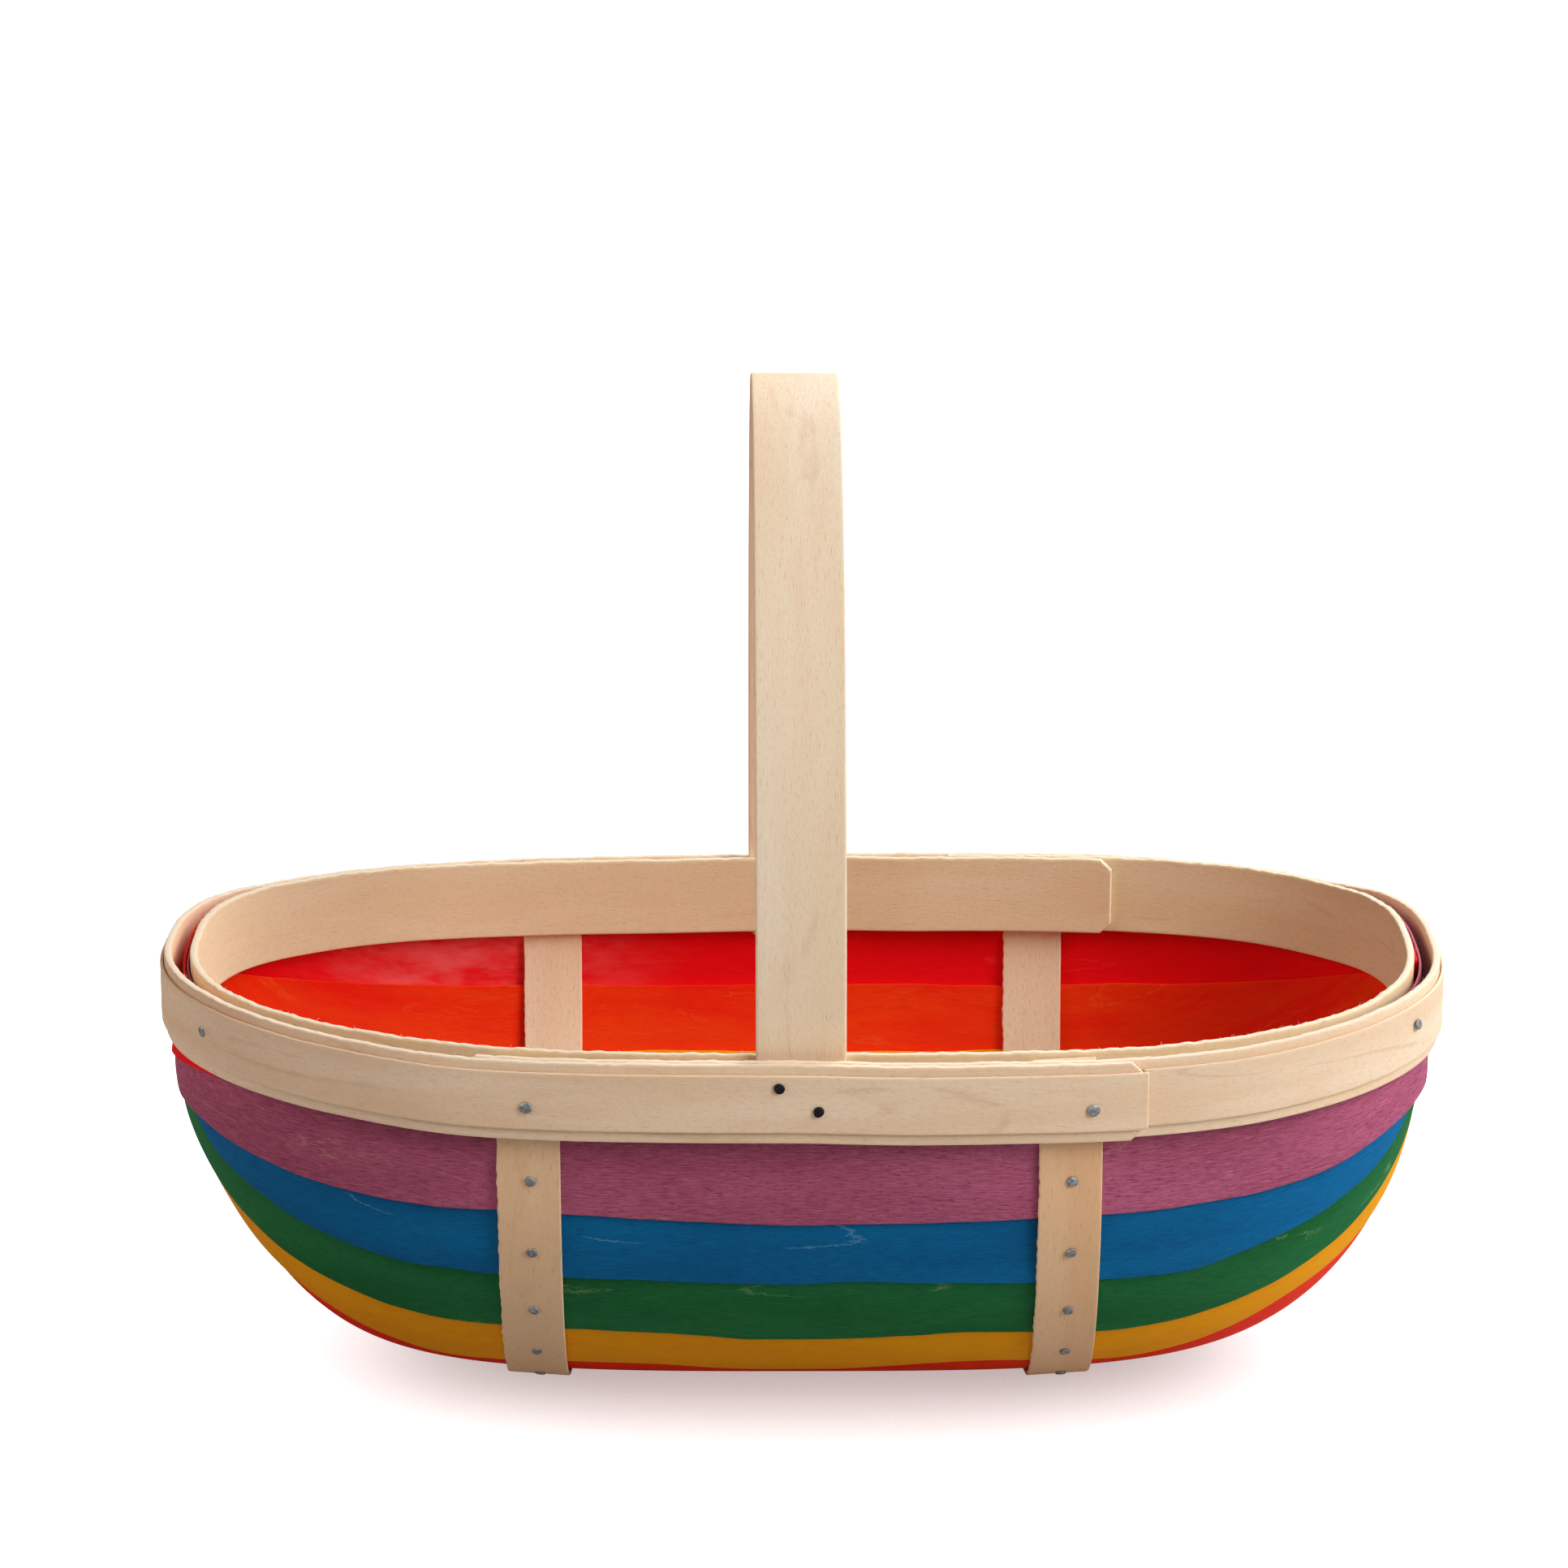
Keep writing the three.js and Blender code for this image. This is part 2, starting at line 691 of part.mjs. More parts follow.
function strapFace(x, liftAt, flatten) {
  const edges = [x - strapWidth / 2, x + strapWidth / 2];
  const rows = strapShares().map((share) => edges.map((edgeX) => {
    return lifted(girthPoint(edgeX, share), liftAt(share)).setX(edgeX);
  }));
  if (flatten) {
    const reach = flatShare + flatSlackShare;
    const bottoms = rows.filter((row, index) => Math.abs(strapShares()[index] - 1) <= reach);
    const lowest = Math.min(...bottoms.flat().map((point) => point.z));
    bottoms.flat().forEach((point) => point.setZ(lowest));
  }
  return rows;
}

function outerStrap(x) {
  const outer = strapFace(x, (share) => strapLift(share) + strapThickness, true);
  const inner = strapFace(x, strapLift, false);
  return { geometry: shellSolid(outer, inner), outer };
}

function innerStrap(x) {
  const outer = strapFace(x, () => -layerGap, false);
  const inner = strapFace(x, () => -layerGap - strapThickness, false);
  return shellSolid(outer, inner);
}

// Handle: a strip bent to an arch in the plane across the basket, its feet between hoop and slats
function handleGeometry() {
  const foot = shellTop.width - handleSeatGap - handleThickness / 2;
  const path = [new THREE.Vector2(-foot, -rimDepth - handleFoot)];
  path.push(new THREE.Vector2(-foot, -rimDepth - handleFoot + handleCornerCut));
  for (let i = 0; i <= archSteps; i += 1) {
    const angle = Math.PI * (1 - i / archSteps);
    const c = Math.cos(angle);
    const s = Math.sin(angle);
    const y = foot * Math.sign(c) * Math.abs(c) ** (2 / archExponent);
    const z = (handleRise - handleThickness / 2) * s ** (2 / archExponent);
    path.push(new THREE.Vector2(y, z));
  }
  path.push(new THREE.Vector2(foot, -rimDepth - handleFoot + handleCornerCut));
  path.push(new THREE.Vector2(foot, -rimDepth - handleFoot));
  const outer = [];
  const inner = [];
  path.forEach((point, index) => {
    const before = path[Math.max(0, index - 1)];
    const after = path[Math.min(path.length - 1, index + 1)];
    const along = after.clone().sub(before).normalize();
    const out = new THREE.Vector2(-along.y, along.x);
    const end = index === 0 || index === path.length - 1;
    const half = handleWidth / 2 - (end ? handleCornerCut : 0);
    const middle = handleOffset + (handleSkew * point.x) / rimWidth;
    const face = (side) => [-half, half].map((across) => new THREE.Vector3(
      middle + across,
      point.x + (out.x * side * handleThickness) / 2,
      point.y + (out.y * side * handleThickness) / 2,
    ));
    outer.push(face(1));
    inner.push(face(-1));
  });
  return shellSolid(outer, inner);
}

// Nail: shank down the axis and a slightly domed head above the seat
function nailGeometry(length) {
  const profile = [
    [0, -length],
    [nailShankRadius, -length],
    [nailShankRadius, 0],
    [nailHeadRadius, 0],
    [nailHeadRadius, nailHeadHeight / 2],
    [nailHeadRadius / 2, nailHeadHeight],
    [0, nailHeadHeight],
  ];
  const points = profile.map(([r, h]) => new THREE.Vector2(r, h));
  return new THREE.LatheGeometry(points, nailSides).rotateX(Math.PI / 2);
}

// Hole for a nail, clear of its shank all round and past its point
function nailHole(length) {
  const radius = nailShankRadius + nailClearance;
  const from = -length - nailClearance;
  const to = nailSeatGap + layerGap;
  const points = [[0, from], [radius, from], [radius, to], [0, to]];
  const profile = points.map(([r, h]) => new THREE.Vector2(r, h));
  return new THREE.LatheGeometry(profile, nailSides).rotateX(Math.PI / 2);
}

// Booleans
function toSolid(geometry) {
  const bare = geometry.clone();
  bare.deleteAttribute('normal');
  bare.deleteAttribute('uv');
  const merged = mergeVertices(bare, mergeReach);
  return new wasm.Manifold(new wasm.Mesh({
    numProp: 3,
    vertProperties: new Float32Array(merged.attributes.position.array),
    triVerts: new Uint32Array(merged.index.array),
  }));
}

function toGeometry(solid) {
  const mesh = solid.getMesh();
  const geometry = new THREE.BufferGeometry();
  geometry.setAttribute('position', new THREE.BufferAttribute(mesh.vertProperties, 3));
  geometry.setIndex(new THREE.BufferAttribute(mesh.triVerts, 1));
  geometry.computeVertexNormals();
  return geometry;
}

// Materials
const woodRoughness = 0.62;
const stainRoughness = 0.55;
const nailRoughness = 0.45;
const woodColour = 0xe3cba9;
const strapColour = 0xdcbf98;
const steelColour = 0x7d8286;
const blackColour = 0x1c1b1b;
const stains = {
  purple: 0xa45a79,
  blue: 0x0d70ad,
  green: 0x23733f,
  yellow: 0xe9a70d,
  orange: 0xec5418,
  red: 0xd81423,
};

function wood(colour, roughness) {
  return new THREE.MeshStandardMaterial({ color: colour, roughness, metalness: 0 });
}

function steel(colour) {
  return new THREE.MeshStandardMaterial({ color: colour, roughness: nailRoughness, metalness: 1 });
}

const model = new THREE.Group();
const woodPieces = [];
const nails = [];

function addWood(name, geometry, material) {
  woodPieces.push({ name, geometry, material });
}

function addNail(name, seat, normal, length, colour) {
  const turn = new THREE.Quaternion().setFromUnitVectors(new THREE.Vector3(0, 0, 1), normal);
  const position = seat.clone().addScaledVector(normal, nailSeatGap);
  nails.push({ name, position, turn, length, colour });
}

// Slats, front rim to back rim, stained in the same six colours twice
const colourNames = Object.keys(stains);
colourNames.forEach((colourName, index) => {
  const material = wood(stains[colourName], stainRoughness);
  if (index === 0) {
    addWood('slat_01_purple_front_rim', rimSlatGeometry(false, purpleTipDrop), material);
    return;
  }
  const upper = upperEdgeShares[index];
  const geometry = slatGeometry(index + 1, upper, lowerEdgeShares[index], false, false);
  addWood(`slat_0${index + 1}_${colourName}_front`, geometry, material);
});
colourNames.forEach((colourName, index) => {
  const material = wood(stains[colourName], stainRoughness);
  const number = index + 7;
  const label = `slat_${String(number).padStart(2, '0')}_${colourName}_back`;
  const step = 5 - index;
  if (step === 0) {
    addWood(`${label}_rim`, rimSlatGeometry(true, redTipDrop), material);
    return;
  }
  const keelSlat = index === 0;
  const lower = keelSlat ? keelEdgeShare : lowerEdgeShares[step];
  addWood(label, slatGeometry(step + 1, upperEdgeShares[step], lower, true, keelSlat), material);
});

// Straps and their nails
const shares = strapShares();
for (const [side, x] of Object.entries(strapPlaces)) {
  const strap = outerStrap(x);
  addWood(`outer_strap_${side}`, strap.geometry, wood(strapColour, woodRoughness));
  const innerGeometry = innerStrap(innerStrapPlaces[side]);
  addWood(`inner_strap_${side}`, innerGeometry, wood(strapColour, woodRoughness));
  [...nailShares, ...nailShares.map((share) => 2 - share).reverse()].forEach((share, index) => {
    let row = 0;
    while (shares[row + 1] < share) {
      row += 1;
    }
    const t = (share - shares[row]) / (shares[row + 1] - shares[row]);
    const [a, b] = strap.outer[row];
    const [c, d] = strap.outer[row + 1];
    const seat = a.clone().add(b).multiplyScalar((1 - t) / 2).addScaledVector(c.clone().add(d), t / 2);
    const across = b.clone().sub(a).add(d).sub(c);
    const along = c.clone().sub(a).add(d).sub(b);
    const normal = along.cross(across).normalize();
    const inward = girthPoint(x, share).position.sub(seat).dot(normal);
    if (inward > 0) {
      normal.negate();
    }
    const length = Math.abs(inward) + layerGap + strapNailBite + nailSeatGap;
    const label = String(index + 1).padStart(2, '0');
    addNail(`strap_nail_${side}_${label}`, seat, normal, length, steelColour);
  });
}

// Hoops
function bandTop(point) {
  const drop = mix(bandDropFront, bandDropBack, (1 + point.y / bandInner.width) / 2);
  return rimDepth - drop + riseAt(bandRiseShares, point);
}
addWood(
  'outer_band',
  hoopGeometry(bandInner, bandStart, bandEnd, bandOffset, bandThickness, bandTop, bandHeight, cornerCut),
  wood(woodColour, woodRoughness),
);
const faceStart = bandEnd - bandTrack.length + faceStartGap;
const faceOffset = (run) => bandOffset(run) + bandThickness + layerGap;
const faceGeometry = hoopGeometry(
  bandInner,
  faceStart,
  bandEnd + faceOverhang,
  faceOffset,
  faceThickness,
  (point) => bandTop(point) - faceDrop,
  faceHeight,
  0,
);
addWood('face_strip', faceGeometry, wood(woodColour, woodRoughness));
const hoopTop = (point) => rimDepth + riseAt(hoopRiseShares, point);
addWood(
  'inner_hoop',
  hoopGeometry(hoopOuter, hoopStart, hoopEnd, hoopOffset, hoopThickness, hoopTop, rimDepth, cornerCut),
  wood(woodColour, woodRoughness),
);

// Handle
addWood('handle', handleGeometry().translate(0, 0, rimDepth), wood(woodColour, woodRoughness));

// Nail through the rim: it sits on the face strip at a run along the band and ends in the hoop
function addRimNail(name, run, drop, colour) {
  const spot = bandTrack.at(run);
  const outside = bandOffset(run) + bandThickness + layerGap + faceThickness;
  const normal = new THREE.Vector3(spot.normal.x, spot.normal.y, 0);
  const seat = new THREE.Vector3(spot.point.x, spot.point.y, bandTop(spot.point) - drop);
  seat.setZ(seat.z + sheer(seat.x));
  const hoopSpot = ovalPoint(hoopOuter, spot.angle);
  const toHoop = (spot.point.x - hoopSpot.x) * spot.normal.x + (spot.point.y - hoopSpot.y) * spot.normal.y;
  seat.addScaledVector(normal, outside);
  addNail(name, seat, normal, outside + toHoop + hoopNailBite + nailSeatGap, colour);
}

const lap = bandTrack.length;
for (const [side, x] of Object.entries(strapPlaces)) {
  const front = lap + bandTrack.runAtX(hoopNailPlaces[side], false);
  addRimNail(`hoop_nail_front_${side}`, front, strapNailDrop, steelColour);
  addRimNail(`hoop_nail_back_${side}`, bandTrack.runAtX(x, true), strapNailDrop, steelColour);
}
handleNailDrops.forEach((drop, index) => {
  const label = index === 0 ? 'upper' : 'lower';
  const x = handleNailOffsets[index];
  const skewFront = handleOffset - handleSkew / 2 + x;
  const skewBack = handleOffset + handleSkew / 2 - x;
  addRimNail(`handle_nail_front_${label}`, lap + bandTrack.runAtX(skewFront, false), drop, blackColour);
  addRimNail(`handle_nail_back_${label}`, bandTrack.runAtX(skewBack, true), drop, blackColour);
});
const tipRuns = {
  leftFront: lap + bandTrack.runAtX(tipNailInsetLeft - rimLength / 2, false),
  rightFront: bandTrack.runAtX(rimLength / 2 - tipNailInsetRight, false),
  rightBack: bandTrack.runAtX(rimLength / 2 - tipNailInset, true),
};
addRimNail('tip_nail_left', (lap * 3) / 4, tipNailDrop, steelColour);
addRimNail('tip_nail_left_front', tipRuns.leftFront, tipNailDrop, steelColour);
addRimNail('tip_nail_right_front', tipRuns.rightFront, tipNailDropRight, steelColour);
addRimNail('tip_nail_right_back', tipRuns.rightBack, tipNailDrop, steelColour);

// Every nail has its hole through the pieces that it joins
const holes = nails
  .map((nail) => toSolid(nailHole(nail.length).applyQuaternion(nail.turn).translate(...nail.position)))
  .reduce((all, hole) => all.add(hole));

for (const piece of woodPieces) {
  const solid = toSolid(piece.geometry).subtract(holes);
  const mesh = new THREE.Mesh(toGeometry(solid), piece.material);
  mesh.name = piece.name;
  model.add(mesh);
}
for (const nail of nails) {
  const mesh = new THREE.Mesh(nailGeometry(nail.length), steel(nail.colour));
  mesh.name = nail.name;
  mesh.position.copy(nail.position);
  mesh.quaternion.copy(nail.turn);
  model.add(mesh);
}

// The whole stands centred on the origin, with its lowest face at z = 0
const box = new THREE.Box3().setFromObject(model, true);
const centre = box.getCenter(new THREE.Vector3());
model.position.set(-centre.x, -centre.y, -box.min.z);

export default model;
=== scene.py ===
# Rainbow trug basket: stained slats, nailed cross straps, bent hoops and a strip handle.
# Shapes are worked out in millimetres in the shell's own frame, whose zero is the rim's lower
# edge at the middle of the basket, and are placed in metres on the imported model.

import math

import bpy
import numpy as np
from mathutils import Matrix, Vector


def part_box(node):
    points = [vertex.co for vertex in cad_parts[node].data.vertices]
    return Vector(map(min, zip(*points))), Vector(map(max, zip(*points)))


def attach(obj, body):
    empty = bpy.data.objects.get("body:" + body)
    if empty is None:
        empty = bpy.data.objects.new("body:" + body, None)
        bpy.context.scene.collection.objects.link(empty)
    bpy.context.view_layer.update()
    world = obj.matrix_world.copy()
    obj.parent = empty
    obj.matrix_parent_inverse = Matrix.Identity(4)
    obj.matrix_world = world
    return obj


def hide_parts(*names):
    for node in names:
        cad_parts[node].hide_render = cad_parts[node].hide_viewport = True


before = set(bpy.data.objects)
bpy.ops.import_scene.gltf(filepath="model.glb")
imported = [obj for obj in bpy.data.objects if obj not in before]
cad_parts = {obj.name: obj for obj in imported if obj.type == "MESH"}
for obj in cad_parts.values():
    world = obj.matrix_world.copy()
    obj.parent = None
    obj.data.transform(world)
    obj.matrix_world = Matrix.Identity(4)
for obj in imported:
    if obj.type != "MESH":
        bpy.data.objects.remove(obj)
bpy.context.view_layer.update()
scene = bpy.context.scene
print("frame loaded:", len(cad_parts), "nodes")

metre = 0.001  # metres in a millimetre
handleTop = 208.4  # millimetres from the rim's lower edge to the top of the handle


def middleOf(node, axis):
    low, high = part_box(node)
    return (low[axis] + high[axis]) / 2


shellPlace = np.array([
    middleOf("slat_05_orange_front", 0),
    middleOf("handle", 1),
    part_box("handle")[1].z - handleTop * metre,
])

# The photograph's view: angles in degrees, places and lengths in metres, the sensor in millimetres
view = {
    "elevation": 17, "azimuth": 0.2, "distance": 1.67, "target": (-0.0058, 0.0014, 0.18735),
    "focalPixels": 6633, "photoPixels": 1932, "sensorWidth": 36, "clipEnd": 50,
}


def makeCamera():
    e = math.radians(view["elevation"])
    a = math.radians(view["azimuth"])
    forward = Vector((math.sin(a) * math.cos(e), math.cos(a) * math.cos(e), -math.sin(e)))
    right = Vector((math.cos(a), -math.sin(a), 0))
    up = right.cross(forward)
    data = bpy.data.cameras.new("camera")
    data.sensor_width = view["sensorWidth"]
    data.lens = view["sensorWidth"] * view["focalPixels"] / view["photoPixels"]
    data.clip_end = view["clipEnd"]
    camera = bpy.data.objects.new("camera", data)
    turn = Matrix((right, up, -forward)).transposed().to_4x4()
    camera.matrix_world = Matrix.Translation(
        Vector(view["target"]) - forward * view["distance"]) @ turn
    scene.collection.objects.link(camera)
    scene.camera = camera


makeCamera()

# Sizes of the basket, millimetres
rim = {
    "length": 399, "width": 213.4, "planPower": 2.76, "keelPlanPower": 3.27, "height": 25.4,
    "sheerRise": 5, "sheerPower": 3.2,
}
layers = {"gap": 0.3, "slat": 0.8, "strap": 1.4, "handle": 2.4, "hoop": 2.4, "band": 2.4, "face": 1}
shell = {
    "depth": 104.1, "tipHang": 8.8, "keelFlatHalf": 66, "keelBendPower": 2.944, "keelDepthPower": 1.836,
    "sectionPower": 2.271, "poleRise": 17, "tipLevel": 2.75, "slatEndInset": 0.02,
}
slatShares = {
    "upper": (0.0444, 0.207, 0.33, 0.462, 0.56, 0.8),
    "lower": (0.24, 0.367, 0.503, 0.64, 0.85, 1.03),
    "keelEdge": 0.995,
}
# Drift of the lower edges of the first four slats at shares of the shell's length: the rim slat's
# in shares of its drop, the others' in shares of the half girth
drift = {
    "places": (
        -0.99, -0.96, -0.88, -0.78, -0.68, -0.58, -0.5, -0.36, -0.24, -0.08, 0.08, 0.24, 0.33, 0.45,
        0.52, 0.6, 0.7, 0.8, 0.9, 0.97,
    ),
    "reach": 0.03,
    "rows": (
        (
            -0.021, -0.021, -0.007, 0.005, 0.006, -0.019, -0.046, -0.059, -0.04, 0.014, 0.036, 0.001,
            -0.016, -0.005, 0.01, 0.036, 0.049, 0.039, -0.03, -0.066,
        ),
        (
            -0.03, 0.02, 0.008, 0.005, 0.006, 0.003, -0.001, -0.008, -0.007, -0.002, -0.005, -0.002,
            0.002, 0.01, 0.015, 0.02, 0.01, 0.004, 0.01, 0.017,
        ),
        (
            0.035, 0.035, 0.022, 0.004, 0.001, 0.001, -0.003, -0.015, -0.01, 0.008, 0.005, -0.008,
            -0.005, 0.007, 0.018, 0.016, 0.003, -0.008, -0.009, -0.002,
        ),
        (
            0.019, 0.019, 0.019, -0.007, 0.009, 0.034, 0.018, -0.017, -0.014, 0.02, 0.013, -0.026,
            -0.026, 0.007, 0.023, 0.008, -0.028, -0.058, -0.046, -0.042,
        ),
    ),
}
# Rise of the rim's strips over a level edge at shares of the shell's length, along the front and
# along the back, in shares of the rim's height
rises = {
    "turn": 0.42, "reach": 0.03,
    "places": (
        -0.97, -0.93, -0.88, -0.83, -0.78, -0.69, -0.5, -0.24, 0, 0.15, 0.33, 0.5, 0.6, 0.7,
        0.78, 0.84, 0.89, 0.93, 0.97,
    ),
    "bandFront": (
        0.102, 0.091, 0.067, 0.055, 0.028, 0.008, -0.016, 0, 0, -0.031, -0.039, -0.071, -0.079,
        -0.079, -0.055, -0.039, -0.024, -0.008, 0,
    ),
    "bandBack": (
        -0.039, -0.071, -0.071, -0.059, -0.047, -0.031, -0.012, 0, 0.008, 0.028, 0.035, 0.051,
        0.035, 0.008, -0.008, -0.043, -0.071, -0.075, -0.024,
    ),
    "hoopFront": (
        0.039, 0.039, 0.039, 0.039, 0.031, 0.028, 0, 0, 0, 0, -0.008, -0.039, -0.047, -0.051,
        -0.047, -0.059, -0.059, -0.039, -0.02,
    ),
    "hoopBack": (
        -0.031, -0.039, -0.043, -0.043, -0.031, -0.024, -0.031, -0.035, -0.004, 0.016, 0.039,
        0.047, 0.043, 0.035, 0.02, -0.008, -0.031, -0.039, -0.02,
    ),
}
# Lean of the left end at shares of the shell's depth, inwards where it is positive
lean = {
    "start": 0.5, "end": 0.88, "reach": 0.016,
    "depths": (0.0075, 0.02, 0.037, 0.06, 0.09, 0.13, 0.2, 0.33, 0.45, 0.62, 0.78, 1),
    "shares": (0, -0.0015, -0.0048, -0.008, -0.0078, -0.0066, -0.004, 0.0055, 0.015, 0.0225, 0.0165, 0),
}
samples = 400  # points of a table along a curve
tableCrowd = 3  # power that crowds a section's points towards the keel
turnReach = 60  # millimetres of run that a full radian of bend counts for
slopeStep = 1e-4  # share of the depth over which a slope is taken
tiny = 1e-7  # share that keeps a root off its end
least = 1e-9  # smallest divisor
waves = {"shares": (1, 0.63, 0.41, 0.27, 0.17), "spread": (0.85, 1.15), "size": 1.6}

pitch = layers["slat"] + layers["gap"]
bandInner = np.array([rim["length"], rim["width"]]) / 2 - layers["face"] - layers["gap"] - layers["band"]
shellTop = bandInner - np.array([
    pitch * (shell["tipLevel"] + 1) + pitch,
    layers["slat"] + 3 * layers["gap"] + layers["strap"],
])
hoopOuter = shellTop - np.array([layers["gap"], 2 * layers["gap"] + layers["handle"]])


def smoothStep(value, start, end):
    t = np.clip((value - start) / (end - start), 0, 1)
    return t * t * (3 - 2 * t)


def mix(a, b, t):
    return a + (b - a) * t


# Slow irregular wave: sines of random length and phase, about one unit high
def wander(run, period, seed):
    rng = np.random.default_rng(seed)
    total = np.zeros_like(run, float)
    for share in waves["shares"]:
        length = period * share * rng.uniform(*waves["spread"])
        total += share * np.sin(2 * np.pi * (run / length + rng.uniform()))
    return total / waves["size"]


# Point at a polar angle on the oval |x / a|^p + |y / b|^p = 1
def ovalPoint(a, b, power, angle):
    c = np.abs(np.cos(angle)) / a
    s = np.abs(np.sin(angle)) / b
    radius = (c ** power + s ** power) ** (-1 / power)
    return radius * np.cos(angle), radius * np.sin(angle)


# Outward normal there: the slope of the same sum
def ovalNormal(a, b, power, x, y):
    nx = np.sign(x) * (np.abs(x) / a) ** (power - 1) / a
    ny = np.sign(y) * (np.abs(y) / b) ** (power - 1) / b
    size = np.hypot(nx, ny)
    return nx / size, ny / size


# Track round an oval, counterclockwise from the middle of the front. Its measure is the run plus
# the turn made, so that even steps of it lie closer where the oval bends.
class Track:
    def __init__(self, oval):
        self.oval = oval
        self.angle = np.linspace(-np.pi / 2, 3 * np.pi / 2, 4 * samples + 1)
        x, y = ovalPoint(*oval, rim["planPower"], self.angle)
        nx, ny = ovalNormal(*oval, rim["planPower"], x, y)
        steps = np.hypot(np.diff(x), np.diff(y))
        turns = np.arccos(np.clip(nx[1:] * nx[:-1] + ny[1:] * ny[:-1], -1, 1))
        self.x = x
        self.run = np.concatenate([[0], np.cumsum(steps)])
        self.measure = np.concatenate([[0], np.cumsum(steps + turns * turnReach)])
        self.length = self.run[-1]

    def at(self, run):
        turns = np.floor(run / self.length)
        angle = np.interp(run - turns * self.length, self.run, self.angle)
        x, y = ovalPoint(*self.oval, rim["planPower"], angle)
        nx, ny = ovalNormal(*self.oval, rim["planPower"], x, y)
        return x, y, nx, ny, angle

    def measureAt(self, run):
        turns = np.floor(run / self.length)
        return np.interp(run - turns * self.length, self.run, self.measure) + turns * self.measure[-1]

    def stations(self, start, end, step):
        first, last = self.measureAt(start), self.measureAt(end)
        even = np.linspace(first, last, int(math.ceil((last - first) / step)) + 1)
        turns = np.floor(even / self.measure[-1])
        runs = np.interp(even - turns * self.measure[-1], self.measure, self.run)
        return runs + turns * self.length

    # Run at which the front, or the back, is x away from the middle
    def runAtX(self, x, back):
        quarter = samples + 1
        reach = np.sign(x) * np.interp(abs(x), self.x[:quarter], self.run[:quarter])
        return self.length / 2 - reach if back else reach


# Half length, half width and power of the shell's inner face at a depth below the rim's lower edge
def shellOval(depth):
    k = np.clip(depth / shell["depth"], 0, 1 - tiny)
    reach = shellTop[0] - shell["keelFlatHalf"]
    hung = np.clip((depth - shell["tipHang"]) / (shell["depth"] - shell["tipHang"]), 0, 1 - tiny)
    flat = (1 - hung ** shell["keelDepthPower"]) ** (1 / shell["keelBendPower"])
    width = shellTop[1] * (1 - k ** shell["sectionPower"]) ** (1 / shell["sectionPower"])
    return shell["keelFlatHalf"] + reach * flat, width, mix(rim["planPower"], rim["keelPlanPower"], k)


def keelDepth(x):
    over = np.maximum(0, np.abs(x) - shell["keelFlatHalf"]) / (shellTop[0] - shell["keelFlatHalf"])
    bend = np.maximum(0, 1 - over ** shell["keelBendPower"]) ** (1 / shell["keelDepthPower"])
    return shell["tipHang"] + (shell["depth"] - shell["tipHang"]) * bend


def shellMeasure(x, y, depth):
    length, width, power = shellOval(depth)
    return (np.abs(x) / length) ** power + (np.abs(y) / width) ** power


# Outward normal of the shell, from the slopes of that measure
def shellNormal(x, y, depth):
    length, width, power = shellOval(depth)
    step = np.minimum(shell["depth"] * slopeStep, (shell["depth"] - depth) / 2 + shell["depth"] * tiny)
    slope = (shellMeasure(x, y, depth + step) - shellMeasure(x, y, depth - step)) / (2 * step)
    nx = np.sign(x) * power * (np.abs(x) / length) ** (power - 1) / length
    ny = np.sign(y) * power * (np.abs(y) / width) ** (power - 1) / width
    normal = np.stack([nx, ny, np.where(depth <= 0, 0, -slope)], -1)
    return normal / np.linalg.norm(normal, axis=-1, keepdims=True)


# Straight-line look-up, row by row, of values whose keys rise along each row
def lookUp(keys, values, wanted):
    index = np.clip((keys[:, None, :] <= wanted[:, :, None]).sum(2) - 1, 0, keys.shape[1] - 2)
    low = np.take_along_axis(keys, index, 1)
    high = np.take_along_axis(keys, index + 1, 1)
    t = (wanted - low) / np.maximum(high - low, least)
    found = []
    for value in values:
        found.append(mix(np.take_along_axis(value, index, 1), np.take_along_axis(value, index + 1, 1), t))
    return found


# Front half of the shell's section at each x: girth run from the pole in the rim, y and depth
def sectionTable(x):
    share = 1 - (1 - np.linspace(0, 1, samples + 1)) ** tableCrowd
    depth = keelDepth(x)[:, None] * share
    length, width, power = shellOval(depth)
    left = np.maximum(0, 1 - (np.abs(x)[:, None] / length) ** power)
    y = -width * left ** (1 / power)
    y[:, -1] = 0
    depth = np.hstack([np.full((len(x), 1), -float(shell["poleRise"])), depth])
    y = np.hstack([y[:, :1], y])
    girth = np.cumsum(np.hypot(np.diff(y), np.diff(depth)), 1)
    return np.hstack([np.zeros((len(x), 1)), girth]), y, depth


# Point and normal at each x and share of the half girth, 0 at the front pole, 1 at the keel and
# 2 at the back pole
def girthPoint(x, share):
    girth, y, depth = sectionTable(x)
    side = np.where(share > 1, -1, 1)
    wanted = np.where(share > 1, 2 - share, share) * girth[:, -1:]
    py, pd = lookUp(girth, (y, depth), wanted)
    px = np.broadcast_to(x[:, None], share.shape)
    return np.stack([px, py * side, -pd], -1), shellNormal(px, py * side, pd)


# Table of values at places, its corners rounded off over a reach
def eased(wanted, places, values, reach):
    steps = reach * np.linspace(-1, 1, 5)
    return sum(np.interp(wanted + step, places, values) for step in steps) / len(steps)


def sheer(x):
    return rim["sheerRise"] * (np.abs(x) / shellTop[0]) ** rim["sheerPower"]


def leftLean(x, depth):
    gate = smoothStep(-x / shellTop[0], lean["start"], lean["end"])
    return shellTop[0] * gate * eased(depth / shell["depth"], lean["depths"], lean["shares"], lean["reach"])


